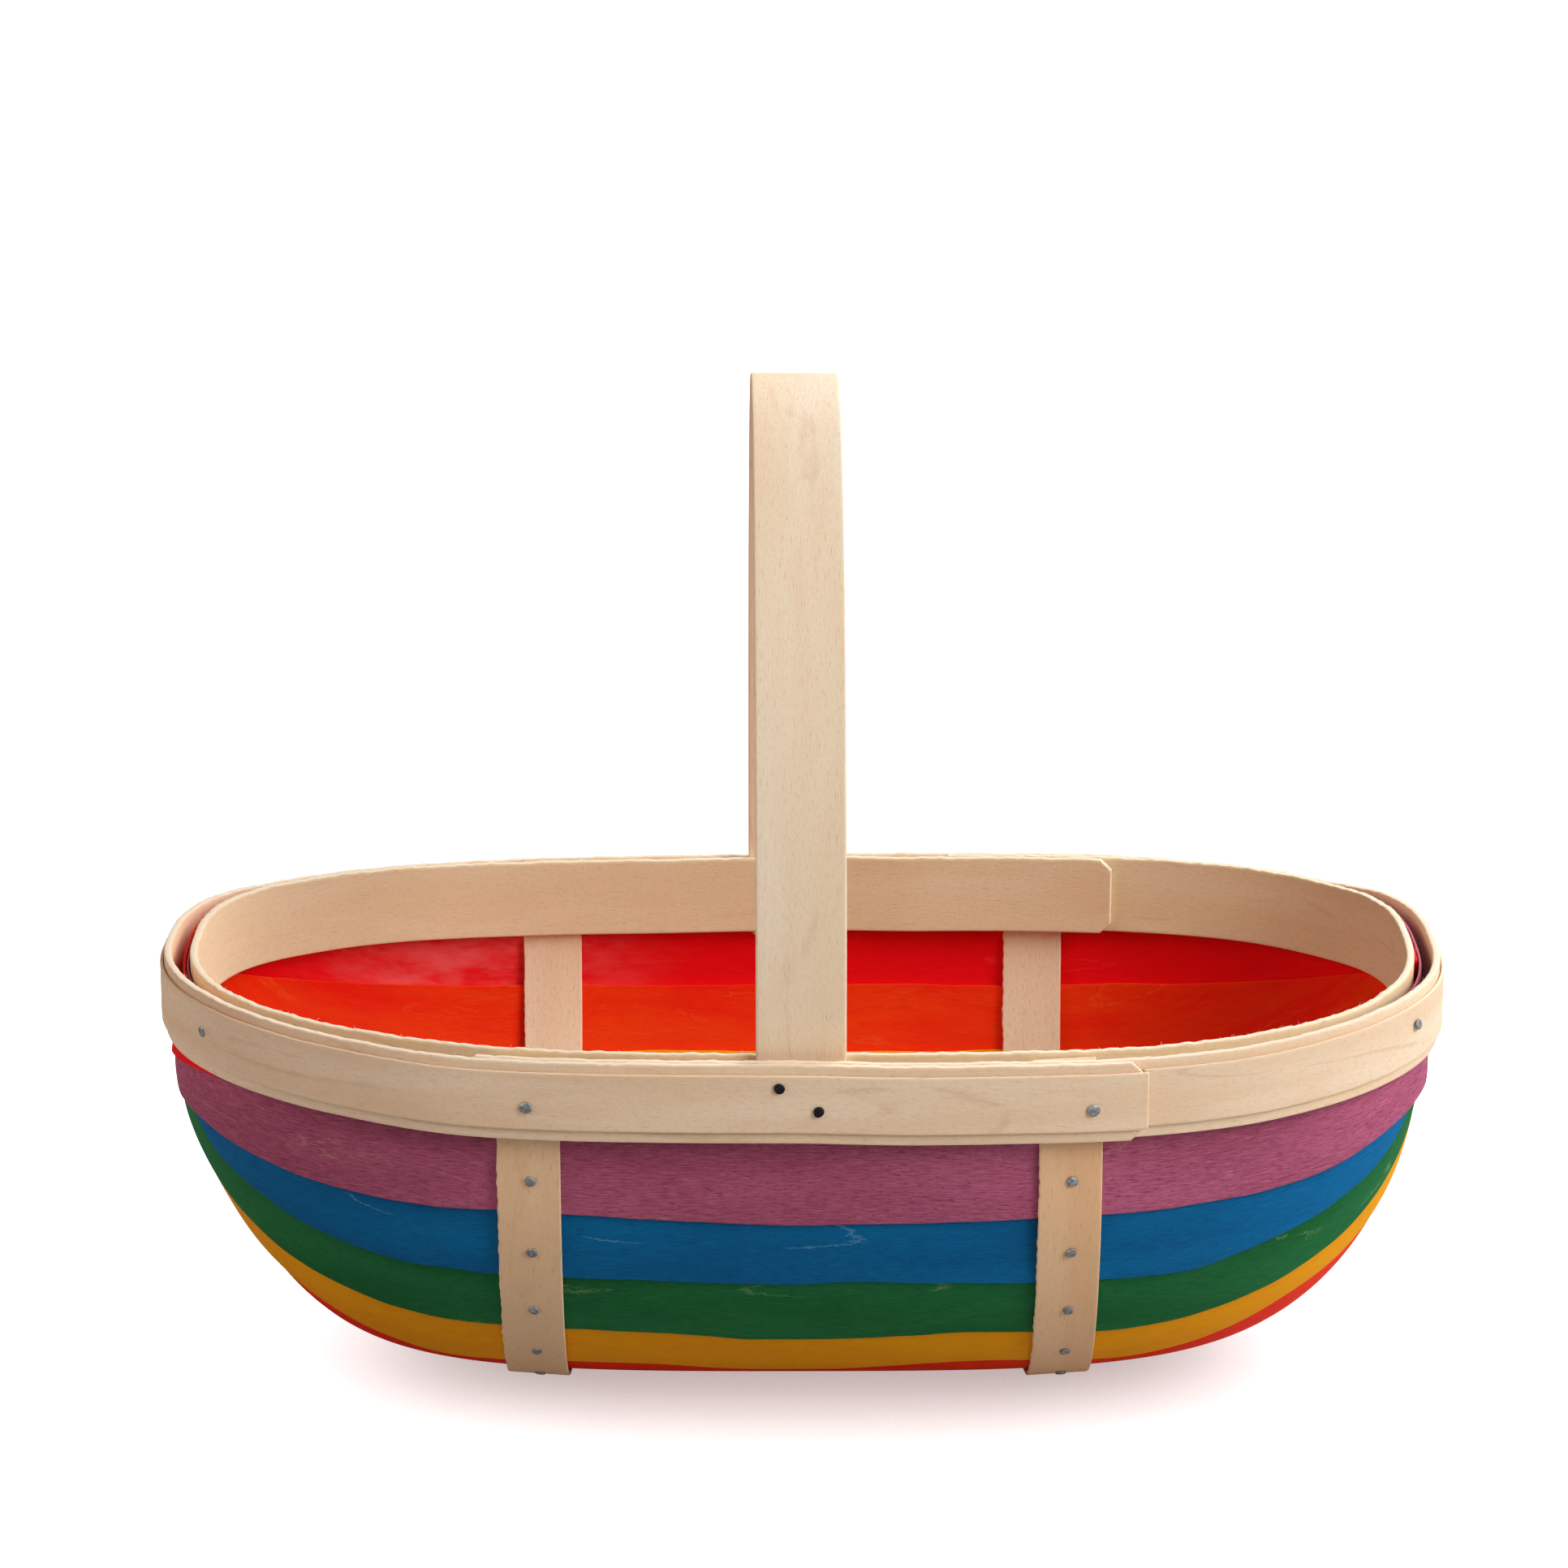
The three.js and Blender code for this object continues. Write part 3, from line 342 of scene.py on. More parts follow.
# Place of points of the shell moved out by an offset. With the turn -1 the piece is still to be
# turned round by half a circle.
def lifted(point, normal, offset, turn=1):
    moved = point + normal * offset[..., None]
    moved[..., 2] += sheer(moved[..., 0])
    moved[..., 0] += turn * leftLean(turn * point[..., 0], -point[..., 2])
    return moved


# Drift of a slat's lower edge at x
def driftAt(number, x):
    if number > len(drift["rows"]):
        return np.zeros_like(x)
    return eased(x / shellTop[0], drift["places"], drift["rows"][number - 1], drift["reach"])


# Rise of the band or the hoop over a level edge
def riseAt(strip, x, y):
    front = eased(x / shellTop[0], rises["places"], rises[strip + "Front"], rises["reach"])
    back = eased(x / shellTop[0], rises["places"], rises[strip + "Back"], rises["reach"])
    reach = rises["turn"] * shellTop[1]
    return rim["height"] * mix(front, back, smoothStep(y, -reach, reach))


# Count of slat edges passed by a share of the half girth, 1 at the rim slat's and 7 at the keel
def edgeCount(share):
    knots = np.array(slatShares["upper"] + (1,))
    first = 1 + (-1 - knots[0]) / (knots[1] - knots[0])
    last = 7 + 1 / (knots[-1] - knots[-2])
    keys = np.concatenate([[-1], knots, [2]])
    return np.interp(share, keys, np.concatenate([[first], np.arange(1, 8), [last]]))


# Rounded edge of a strip: columns from the edge inwards and how far each face draws in there, in
# units of the roundness
roundEdge = {"across": (0, 0.3, 1, 2.5), "draw": (1, 0.3, 0, 0)}


# Across a strip: how far each column lies from its first edge, and how far each face draws in there
def easedColumns(width, roundness, count):
    ease = roundness * np.array(roundEdge["across"])
    draw = roundness * np.array(roundEdge["draw"])
    inner = np.linspace(0, 1, count + 2)[1:-1]
    middle = ease[-1] + (width - 2 * ease[-1]) * inner
    rows = len(width)
    across = np.hstack([np.tile(ease, (rows, 1)), middle, width - ease[::-1]])
    return across, np.concatenate([draw, np.zeros(count), draw[::-1]])


# Closed strip: a ring of columns, outer face then inner face back, carried along its stations.
# pointAt gives the place of each column from its distance across and its offset outwards.
def stripMesh(run, width, thickness, roundness, count, pointAt, patternStart):
    width = np.broadcast_to(width, (len(run),)).astype(float)[:, None]
    across, draw = easedColumns(width, roundness, count)
    ring = np.hstack([across, across[:, ::-1]])
    offset = np.concatenate([thickness - draw, draw[::-1]])
    offset = np.broadcast_to(offset, ring.shape)
    points = pointAt(ring, offset)
    rows, columns = ring.shape
    v = np.hstack([across, width + thickness + (width - across[:, ::-1]), 2 * width + 2 * thickness])
    uv = np.stack([np.broadcast_to(run[:, None], v.shape), v], -1) * metre + patternStart
    i, j = np.meshgrid(np.arange(rows - 1), np.arange(columns), indexing="ij")
    i, j = i.ravel(), j.ravel()
    k = (j + 1) % columns
    faces = np.stack([i * columns + j, (i + 1) * columns + j, (i + 1) * columns + k, i * columns + k], 1)
    faceUv = np.stack([uv[i, j], uv[i + 1, j], uv[i + 1, j + 1], uv[i, j + 1]], 1)
    cap = np.arange(columns // 2 - 1)
    other = columns - 1 - cap
    start = np.stack([cap, cap + 1, other - 1, other], 1)
    end = (rows - 1) * columns + start[:, ::-1]
    capUv = np.stack([v[0, cap], v[0, cap + 1], v[0, cap + 1], v[0, cap]], 1) * metre
    thin = np.array([0, 0, thickness, thickness]) * metre
    capUv = np.stack([np.broadcast_to(thin, capUv.shape), capUv], 2) + patternStart
    edge = np.where(np.concatenate([draw, draw[::-1]]) > roundness / 2, 1.0, 0.0)
    return {
        "points": points.reshape(-1, 3),
        "faces": [faces, start, end],
        "uv": [faceUv, capUv, capUv[:, ::-1]],
        "edge": np.broadcast_to(edge, ring.shape).ravel(),
    }


# Thin torn fibres: three-sided slivers that taper from a root along a direction
def fibreMesh(roots, directions, lengths, width, seed):
    rng = np.random.default_rng(seed)
    count = len(roots)
    directions = directions / np.linalg.norm(directions, axis=1, keepdims=True)
    helper = rng.normal(size=(count, 3))
    a = np.cross(directions, helper)
    a /= np.linalg.norm(a, axis=1, keepdims=True)
    b = np.cross(directions, a)
    corners = []
    for turn in (0, 2 * np.pi / 3, 4 * np.pi / 3):
        corners.append(roots + width / 2 * (a * math.cos(turn) + b * math.sin(turn)))
    corners.append(roots + directions * lengths[:, None])
    points = np.stack(corners, 1).reshape(-1, 3)
    base = 4 * np.arange(count)[:, None]
    pattern = np.array([[0, 1, 3], [1, 2, 3], [2, 0, 3], [0, 2, 1]])
    faces = (base[:, None] + pattern[None]).reshape(-1, 3)
    uv = np.zeros(faces.shape + (2,))
    return {"points": points, "faces": [faces], "uv": [uv], "edge": np.ones(len(points))}


# Six times the volume inside closed faces, positive where they point outwards
def signedVolume(points, faces):
    total = 0
    for group in faces:
        for k in range(1, group.shape[1] - 1):
            a, b, c = points[group[:, 0]], points[group[:, k]], points[group[:, k + 1]]
            total += np.einsum("ij,ij->", a, np.cross(b, c))
    return total


def makePiece(name, parts, material, nodes):
    points, faces, uvs, edges = [], [], [], []
    count = 0
    for part in parts:
        turned = signedVolume(part["points"], part["faces"]) < 0
        for group, uv in zip(part["faces"], part["uv"]):
            faces.append((group[:, ::-1] if turned else group) + count)
            uvs.append((uv[:, ::-1] if turned else uv).reshape(-1, 2))
        points.append(part["points"])
        edges.append(part["edge"])
        count += len(part["points"])
    placed = np.vstack(points) * metre + shellPlace
    mesh = bpy.data.meshes.new(name)
    mesh.from_pydata(placed.tolist(), [], [face for group in faces for face in group.tolist()])
    layer = mesh.uv_layers.new(name="grain")
    layer.data.foreach_set("uv", np.vstack(uvs).astype(np.float32).ravel())
    attribute = mesh.attributes.new("edge", "FLOAT", "POINT")
    attribute.data.foreach_set("value", np.concatenate(edges).astype(np.float32))
    mesh.polygons.foreach_set("use_smooth", np.ones(len(mesh.polygons), bool))
    mesh.materials.append(material)
    mesh.update()
    piece = bpy.data.objects.new(name, mesh)
    scene.collection.objects.link(piece)
    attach(piece, "root")
    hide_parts(*nodes)


# A socket that takes part in sums: an expression on it adds its Math nodes
class Wire:
    def __init__(self, recipe, socket):
        self.recipe = recipe
        self.socket = socket

    def math(self, operation, *others):
        return self.recipe.node("Math", [self, *others], operation=operation)

    def __add__(self, other):
        return self.math("ADD", other)

    def __sub__(self, other):
        return self.math("SUBTRACT", other)

    def __mul__(self, other):
        return self.math("MULTIPLY", other)

    def __rsub__(self, other):
        return self.recipe.node("Math", [other, self], operation="SUBTRACT")

    def __abs__(self):
        return self.math("ABSOLUTE")

    __radd__ = __add__
    __rmul__ = __mul__

    def between(self, low, high):
        return self.recipe.node("MapRange", {"Value": self, "From Min": low, "From Max": high},
                                interpolation_type="SMOOTHSTEP")


# A material, or the world, and the nodes that make it
class Recipe:
    def __init__(self, owner):
        owner.use_nodes = True
        self.owner = owner
        self.tree = owner.node_tree
        self.tree.nodes.clear()

    def node(self, kind, values=(), output=0, **settings):
        made = self.tree.nodes.new("ShaderNode" + kind)
        for key, value in settings.items():
            setattr(made, key, value)
        pairs = values.items() if isinstance(values, dict) else enumerate(values)
        for key, value in pairs:
            if isinstance(value, Wire):
                self.tree.links.new(value.socket, made.inputs[key])
            else:
                made.inputs[key].default_value = value
        return Wire(self, made.outputs[output]) if len(made.outputs) else None

    # Noise whose scales are cycles a metre along each axis
    def noise(self, vector, scales, detail=2.0, roughness=0.5, distortion=0.0):
        stretched = self.node("VectorMath", [vector, scales], operation="MULTIPLY")
        return self.node("TexNoise", {
            "Vector": stretched, "Scale": 1, "Detail": detail, "Roughness": roughness,
            "Distortion": distortion})

    def blend(self, factor, a, b):
        return self.node("Mix", {0: factor, 6: a, 7: b}, output=2, data_type="RGBA")

    # Colours of a look laid over one another, each through its mask
    def layered(self, look, base, masks):
        shade = look[base]
        for mask, tone in masks:
            shade = self.blend(mask, shade, look[tone])
        return shade

    def grain(self):
        return self.node("UVMap", uv_map="grain")

    def edge(self):
        return self.node("Attribute", output=2, attribute_name="edge")

    def place(self):
        return self.node("TexCoord", output=3)

    def finish(self, colour, roughness, height, distance, metallic=0.0, specular=0.35):
        bump = self.node("Bump", {"Strength": 1, "Distance": distance, "Height": height})
        self.node("OutputMaterial", [self.node("BsdfPrincipled", {
            "Base Color": colour, "Roughness": roughness, "Metallic": metallic,
            "Specular IOR Level": specular, "Normal": bump})])
        return self.owner


# A colour as a photograph shows it, as linear light
def colour(red, green, blue):
    shares = np.array([red, green, blue]) / 255
    return (*np.where(shares <= 0.04045, shares / 12.92, ((shares + 0.055) / 1.055) ** 2.4), 1)


# Cycles a metre of the wood's noises, along the grain, across it and out of it
scales = {
    "fine": (160, 2600, 1), "pores": (260, 2200, 1), "jag": (420, 700, 1), "breaks": (30, 110, 1),
    "broad": (7, 60, 1), "patch": (14, 38, 1), "mottle": (500, 900, 1), "tooth": (900, 1500, 1),
    "stainBroad": (9, 45, 1), "dashes": (420, 2600, 1), "cloud": (11, 26, 1),
    "rubbed": (150, 1000, 1), "veil": (40, 120, 1),
}


# Fine lengthwise fibres and short pores, both about 0.5 in the middle
def fibres(recipe, grain):
    fine = recipe.noise(grain, scales["fine"], 3, 0.6)
    pores = recipe.noise(grain, scales["pores"], 1, 0.5)
    return fine, pores


# Meandering growth lines: level lines of a slow noise, made jagged by a fine one and broken up
def growthLines(recipe, grain, growth):
    slow = recipe.noise(grain, growth["scales"], 1.5, 0.45, 0.3)
    fine = recipe.noise(grain, scales["jag"], 2, 0.6)
    level = ((slow + (fine - 0.5) * growth["jag"]) * growth["levels"]).math("FRACT")
    line = 1 - abs(level - 0.5).between(0, growth["width"])
    broken = recipe.noise(grain, scales["breaks"], 2, 0.6).between(0.44, 0.54)
    return line * broken


paleWood = {
    "base": colour(243, 211, 175), "light": colour(251, 227, 196), "dark": colour(226, 185, 144),
    "line": colour(210, 164, 120), "patch": colour(238, 192, 152), "cut": colour(255, 238, 212),
    "lines": 0.12, "pits": 0.4, "roughness": 0.65,
    "growth": {"scales": (5, 30, 1), "levels": 4, "width": 0.05, "jag": 0.02},
}


def makePaleWood(name, look):
    recipe = Recipe(bpy.data.materials.new(name))
    grain = recipe.grain()
    fine, pores = fibres(recipe, grain)
    broad = recipe.noise(grain, scales["broad"], 3, 0.55)
    patch = recipe.noise(grain, scales["patch"], 2, 0.6, 0.4)
    mottle = recipe.noise(grain, scales["mottle"], 2, 0.6)
    pits = pores.between(0.62, 0.74) * look["pits"]
    shade = recipe.layered(look, "base", (
        (broad.between(0.35, 0.7), "light"),
        (patch.between(0.6, 0.8) * 0.45, "patch"),
        (fine.between(0.52, 0.8) * 0.35, "dark"),
        (growthLines(recipe, grain, look["growth"]) * look["lines"], "line"),
        (mottle.between(0.45, 0.75) * 0.28, "dark"),
        (pits, "line"),
        (recipe.edge() * 0.75, "cut"),
    ))
    height = fine * 0.5 - pits + recipe.noise(grain, scales["tooth"], 2) * 0.5
    return recipe.finish(shade, look["roughness"] + fine * 0.12, height, 0.00012)


stainGrowth = {"scales": (6, 34, 1), "levels": 4, "width": 0.018, "jag": 0.03}


def makeStain(name, look):
    recipe = Recipe(bpy.data.materials.new(name))
    grain = recipe.grain()
    fine, pores = fibres(recipe, grain)
    broad = recipe.noise(grain, scales["stainBroad"], 3, 0.6)
    dashes = recipe.noise(grain, scales["dashes"], 1.5, 0.6)
    cloud = recipe.noise(grain, scales["cloud"], 2, 0.5, 0.6).between(0.56, 0.68)
    rubbed = recipe.noise(grain, scales["rubbed"], 3, 0.7).between(0.5, 0.62)
    masks = [
        (broad.between(0.3, 0.7), "base"),
        (fine.between(0.48, 0.72) * look["fibre"], "dark"),
        ((1 - fine).between(0.5, 0.75) * look["fibre"], "pale"),
        (dashes.between(0.56, 0.66) * look["dash"], "dark"),
        (pores.between(0.6, 0.72) * look["pore"], "dark"),
        (growthLines(recipe, grain, stainGrowth) * look["line"], "bare"),
        (cloud * rubbed * look["rub"], "bare"),
    ]
    if look["faded"]:
        x = recipe.node("SeparateXYZ", [recipe.place()], output=0)
        near = x.between(-0.175, -0.13) * (1 - x.between(-0.105, -0.03))
        veil = recipe.noise(grain, scales["veil"], 3, 0.7).between(0.3, 0.7)
        masks.append((near * veil * look["faded"], "bare"))
    masks.append((recipe.edge() * 0.3, "pale"))
    shade = recipe.layered(look, "deep", masks)
    return recipe.finish(shade, 0.6 + fine * 0.15, fine * 0.6 - pores * 0.3, 0.0001, specular=0.13)


stains = {
    "purple": {
        "base": colour(188, 98, 130), "deep": colour(166, 80, 108), "dark": colour(118, 46, 74),
        "pale": colour(208, 130, 152), "bare": colour(214, 168, 148),
        "fibre": 0.55, "pore": 0.6, "line": 0.2, "dash": 0.5, "rub": 0.55, "faded": 0,
    },
    "blue": {
        "base": colour(0, 110, 166), "deep": colour(0, 94, 148), "dark": colour(0, 64, 112),
        "pale": colour(24, 128, 176), "bare": colour(110, 170, 196),
        "fibre": 0.35, "pore": 0.3, "line": 0.5, "dash": 0.25, "rub": 0.03, "faded": 0,
    },
    "green": {
        "base": colour(30, 114, 62), "deep": colour(18, 98, 48), "dark": colour(6, 72, 32),
        "pale": colour(60, 142, 86), "bare": colour(130, 172, 112),
        "fibre": 0.35, "pore": 0.3, "line": 0.45, "dash": 0.25, "rub": 0.03, "faded": 0,
    },
    "yellow": {
        "base": colour(252, 172, 2), "deep": colour(246, 158, 0), "dark": colour(222, 134, 0),
        "pale": colour(255, 190, 30), "bare": colour(255, 196, 60),
        "fibre": 0.3, "pore": 0.2, "line": 0.1, "dash": 0.1, "rub": 0.05, "faded": 0,
    },
    "orange": {
        "base": colour(255, 66, 6), "deep": colour(252, 26, 2), "dark": colour(236, 28, 2),
        "pale": colour(255, 92, 26), "bare": colour(255, 124, 48),
        "fibre": 0.3, "pore": 0.2, "line": 0.2, "dash": 0.12, "rub": 0.15, "faded": 0,
    },
    "red": {
        "base": colour(254, 4, 20), "deep": colour(248, 0, 8), "dark": colour(220, 0, 8),
        "pale": colour(255, 40, 48), "bare": colour(255, 120, 120),
        "fibre": 0.3, "pore": 0.2, "line": 0.1, "dash": 0.12, "rub": 0.25, "faded": 0.6,
    },
}
stainMaterials = {name: makeStain(name + "_stain", look) for name, look in stains.items()}
woodLooks = {
    "pale": {"lines": 0.3, "pits": 0.3},
    "inner_hoop": {
        "base": colour(240, 216, 172), "light": colour(246, 226, 188), "patch": colour(238, 196, 148),
        "lines": 0.25, "pits": 0.35,
    },
    "handle": {
        "base": colour(250, 226, 192), "light": colour(254, 236, 208), "dark": colour(238, 204, 164),
        "patch": colour(248, 204, 160), "line": colour(222, 176, 130), "lines": 0.25, "pits": 0.4,
    },
    "left_strap": {
        "base": colour(242, 204, 160), "light": colour(250, 218, 178), "patch": colour(234, 186, 140),
        "pits": 0.55,
    },
    "right_strap": {
        "base": colour(236, 188, 140), "light": colour(243, 202, 158), "patch": colour(224, 168, 120),
        "pits": 0.6,
    },
    "inner_strap": {
        "base": colour(248, 224, 184), "light": colour(253, 234, 200), "patch": colour(240, 206, 162),
    },
}
woods = {name: makePaleWood(name + "_wood", {**paleWood, **look}) for name, look in woodLooks.items()}
print("materials made:", len(bpy.data.materials))

# Slats
slatMesh = {
    "step": 3.4, "roundness": 0.22, "columns": 16, "rimStep": 3, "rimColumns": 30, "edgeWander": 0.35,
    "upperPeriod": 90, "lowerPeriod": 70, "lowerSeed": 500, "rimSeed": 77, "patternBack": 20,
    "patternRow": 0.3,
}
slatTrack = Track(shellTop)


# Where a slat's grain starts in the pattern, so that no two slats show the same piece of it
def slatPattern(number, back):
    return np.array([number + slatMesh["patternBack"] * back, slatMesh["patternRow"]])


def slatPart(number, upper, lower, back, flat):
    quarter = slatTrack.length / 4
    runs = slatTrack.stations(-quarter, quarter, slatMesh["step"])
    x = slatTrack.at(runs)[0] * (1 - shell["slatEndInset"] / shellTop[0])
    half = sectionTable(x)[0][:, -1]
    seed = 10 * number + back
    start = upper * half + slatMesh["edgeWander"] * wander(runs, slatMesh["upperPeriod"], seed)
    lowerWave = wander(runs, slatMesh["lowerPeriod"], seed + slatMesh["lowerSeed"])
    end = (lower + driftAt(number, x)) * half + slatMesh["edgeWander"] * lowerWave

    def pointAt(across, offset):
        share = (start[:, None] + across) / half[:, None]
        lift = offset if flat else offset + pitch * np.maximum(0, edgeCount(share) - number)
        return lifted(*girthPoint(x, 2 - share if back else share), lift)

    return stripMesh(runs, end - start, layers["slat"], slatMesh["roundness"], slatMesh["columns"],
                     pointAt, slatPattern(number, back))


rimSlat = {
    "rise": 19, "riseAtTip": 22, "drop": 26.4, "taperPower": 4, "purpleTipDrop": 14, "redTipDrop": 9.7,
    "longWrap": 62, "shortWrap": 16, "rampStartInset": 60, "rampEndInset": 23, "wrapEndRise": 1,
}


# Rim slat: along one side under the band and round both tips, over the other one at one tip
def rimSlatPart(back, tipDrop):
    quarter = slatTrack.length / 4
    first, last = -quarter - rimSlat["shortWrap"], quarter + rimSlat["longWrap"]
    runs = slatTrack.stations(first, last, slatMesh["rimStep"])
    x, y, _, _, angle = slatTrack.at(runs)
    past = np.abs(runs) - quarter
    nearTip = np.where(past > 0, shellTop[0], np.abs(x))
    taper = (nearTip / shellTop[0]) ** rimSlat["taperPower"]
    drop = np.where(runs > 0, tipDrop, rimSlat["purpleTipDrop"])
    wrapShare = np.maximum(0, past) / rimSlat["longWrap"]
    lower = mix(rimSlat["drop"], drop, taper) - (drop + rimSlat["wrapEndRise"]) * wrapShare
    lower = lower + np.where(past > 0, 0, rimSlat["drop"] * driftAt(1, x))
    wave = wander(runs, slatMesh["upperPeriod"], slatMesh["rimSeed"] + back)
    lower = lower + slatMesh["edgeWander"] * wave
    upper = -mix(rimSlat["rise"], rimSlat["riseAtTip"], taper)
    ramp = shellTop[0] - rimSlat["rampStartInset"], shellTop[0] - rimSlat["rampEndInset"]
    overlay = np.where(runs > 0, smoothStep(nearTip, *ramp), 0)

    def pointAt(across, offset):
        depth = upper[:, None] + across
        a, b, power = shellOval(depth)
        px, py = ovalPoint(a, b, power, angle[:, None])
        girth, _, depths = sectionTable(px[:, 0])
        half = girth[:, -1:]
        found, = lookUp(depths, (girth,), np.minimum(depth, keelDepth(px)))
        level = np.clip(edgeCount(found / half) - 1, 0, shell["tipLevel"])
        point = np.stack([px, py, -depth], -1)
        offset = offset + pitch * (level + overlay[:, None])
        return lifted(point, shellNormal(px, py, depth), offset, -1 if back else 1)

    part = stripMesh(runs, lower - upper, layers["slat"], slatMesh["roundness"], slatMesh["rimColumns"],
                     pointAt, slatPattern(1, back))
    if back:
        part["points"] = part["points"] * np.array([-1, -1, 1])
    return part


def makeSlat(part, order, name, place):
    node = f"slat_{order:02d}_{name}_{place}"
    makePiece(node + "_wood", [part], stainMaterials[name], [node])


# Slats go from the front rim under the basket to the back rim, in orders 1 to 12. The number counts
# down from either rim, 1 to 6.
slatColours = ("purple", "blue", "green", "yellow", "orange", "red")
slatEdges = list(zip(slatShares["upper"], slatShares["lower"]))
makeSlat(rimSlatPart(False, rimSlat["purpleTipDrop"]), 1, "purple", "front_rim")
for number in range(2, 7):
    part = slatPart(number, *slatEdges[number - 1], back=False, flat=False)
    makeSlat(part, number, slatColours[number - 1], "front")
bottom = slatPart(6, slatShares["upper"][5], slatShares["keelEdge"], back=True, flat=True)
makeSlat(bottom, 7, "purple", "back")
for number in range(5, 1, -1):
    part = slatPart(number, *slatEdges[number - 1], back=True, flat=False)
    makeSlat(part, 13 - number, slatColours[6 - number], "back")
makeSlat(rimSlatPart(True, rimSlat["redTipDrop"]), 12, "red", "back_rim")
print("slats made")

# Hoops: the outer band with its lap on the front, the face strip over it, the inner hoop
hoops = {
    "bandHeight": 24.5, "bandDropFront": -0.7, "bandDropBack": 2.2, "bandLapLeft": 100.5,
    "bandLapRight": 99.5, "faceHeight": 18, "faceDrop": 2.8, "faceStartGap": 0.4, "faceOverhang": 1.2,
    "lapStart": 103, "lapEnd": 45, "rampLength": 42, "lapApproach": 2, "cornerCut": 3.5, "step": 2.2,
    "columns": 12, "endReach": 6, "endStep": 0.5, "roundness": 0.45, "roundShare": 0.35,
    "wavePeriods": (5, 23), "waveDepth": 1.5, "patternRow": 0.1,
}
# Torn fibres on a hoop's upper edge: lengths in millimetres, leans in shares of the length
torn = {
    "inset": 5, "sides": (0.06, 0.94), "sink": 0.15, "out": (0.1, 0.8), "up": (0.2, 0.9),
    "length": (0.5, 1.5), "width": 0.16,
}
bandTrack = Track(bandInner)
hoopTrack = Track(hoopOuter)
bandStart = bandTrack.runAtX(-hoops["bandLapLeft"], False)
bandEnd = bandTrack.length + bandTrack.runAtX(hoops["bandLapRight"], False)
hoopStart = hoopTrack.runAtX(hoops["lapStart"], True)
hoopEnd = hoopTrack.length + hoopTrack.runAtX(hoops["lapEnd"], True)


def bandOffset(run):
    overStart = bandTrack.length + bandStart - hoops["lapApproach"]
    return (layers["band"] + layers["gap"]) * smoothStep(run, overStart - hoops["rampLength"], overStart)


def hoopOffset(run):
    underEnd = hoopEnd - hoopTrack.length + hoops["lapApproach"]
    ramp = smoothStep(run, underEnd, underEnd + hoops["rampLength"])
    return -layers["hoop"] - (layers["hoop"] + layers["gap"]) * (1 - ramp)


def bandTop(x, y):
    drop = mix(hoops["bandDropFront"], hoops["bandDropBack"], (1 + y / bandInner[1]) / 2)
    return rim["height"] - drop + riseAt("band", x, y)


# Bent strip on edge, with torn fibres on its upper edge
def hoopPart(track, start, end, offsetAt, thickness, topAt, height, fray, seed, corner):
    runs = track.stations(start, end, hoops["step"])
    near = np.arange(0, hoops["endReach"], hoops["endStep"])
    runs = np.unique(np.concatenate([runs, start + near, end - near]))
    x, y, nx, ny, _ = track.at(runs)
    fromEnd = np.minimum(runs - start, end - runs)
    cut = np.maximum(0, corner - fromEnd)
    top = topAt(x, y) + sheer(x)
    base = offsetAt(runs)
    short, long = hoops["wavePeriods"]
    rough = fray * (wander(runs, short, seed) + wander(runs, long, seed + 1)) / 2

    def pointAt(across, offset):
        out = base[:, None] + offset
        down = cut[:, None] + across * (height - 2 * cut[:, None]) / height
        z = top[:, None] - down + rough[:, None] * np.exp(-across / hoops["waveDepth"])
        return np.stack([x[:, None] + nx[:, None] * out, y[:, None] + ny[:, None] * out, z], -1)

    roundness = min(hoops["roundness"], thickness * hoops["roundShare"])
    return stripMesh(runs, height, thickness, roundness, hoops["columns"], pointAt,
                     np.array([seed, hoops["patternRow"]]))


def edgeFibres(track, start, end, offsetAt, thickness, topAt, count, seed):
    rng = np.random.default_rng(seed)
    runs = rng.uniform(start + torn["inset"], end - torn["inset"], count)
    x, y, nx, ny, _ = track.at(runs)
    side = rng.integers(0, 2, count)
    out = offsetAt(runs) + thickness * mix(*torn["sides"], side)
    z = topAt(x, y) + sheer(x) - torn["sink"]
    roots = np.stack([x + nx * out, y + ny * out, z], 1)
    tilt = np.stack([-ny, nx, np.zeros(count)], 1) * rng.uniform(-1, 1, (count, 1))
    outwards = (2 * side - 1) * rng.uniform(*torn["out"], count)
    tilt += np.stack([nx, ny, np.zeros(count)], 1) * outwards[:, None]
    tilt[:, 2] += rng.uniform(*torn["up"], count)
    return fibreMesh(roots, tilt, rng.uniform(*torn["length"], count), torn["width"], seed + 1)


def hoopTop(x, y):
    return rim["height"] + riseAt("hoop", x, y)


def faceTop(x, y):
    return bandTop(x, y) - hoops["faceDrop"]


def faceOffset(run):
    return bandOffset(run) + layers["band"] + layers["gap"]


bandCourse = bandTrack, bandStart, bandEnd, bandOffset, layers["band"], bandTop
bandPart = hoopPart(
    *bandCourse, height=hoops["bandHeight"], fray=0.22, seed=31, corner=hoops["cornerCut"])
bandFibres = edgeFibres(*bandCourse, count=150, seed=32)
makePiece("outer_band_wood", [bandPart, bandFibres], woods["pale"], ["outer_band"])
faceStart = bandEnd - bandTrack.length + hoops["faceStartGap"]
faceEnd = bandEnd + hoops["faceOverhang"]
facePart = hoopPart(bandTrack, faceStart, faceEnd, faceOffset, layers["face"], faceTop,
                    height=hoops["faceHeight"], fray=0.1, seed=36, corner=0)
makePiece("face_strip_wood", [facePart], woods["pale"], ["face_strip"])
hoopCourse = hoopTrack, hoopStart, hoopEnd, hoopOffset, layers["hoop"], hoopTop
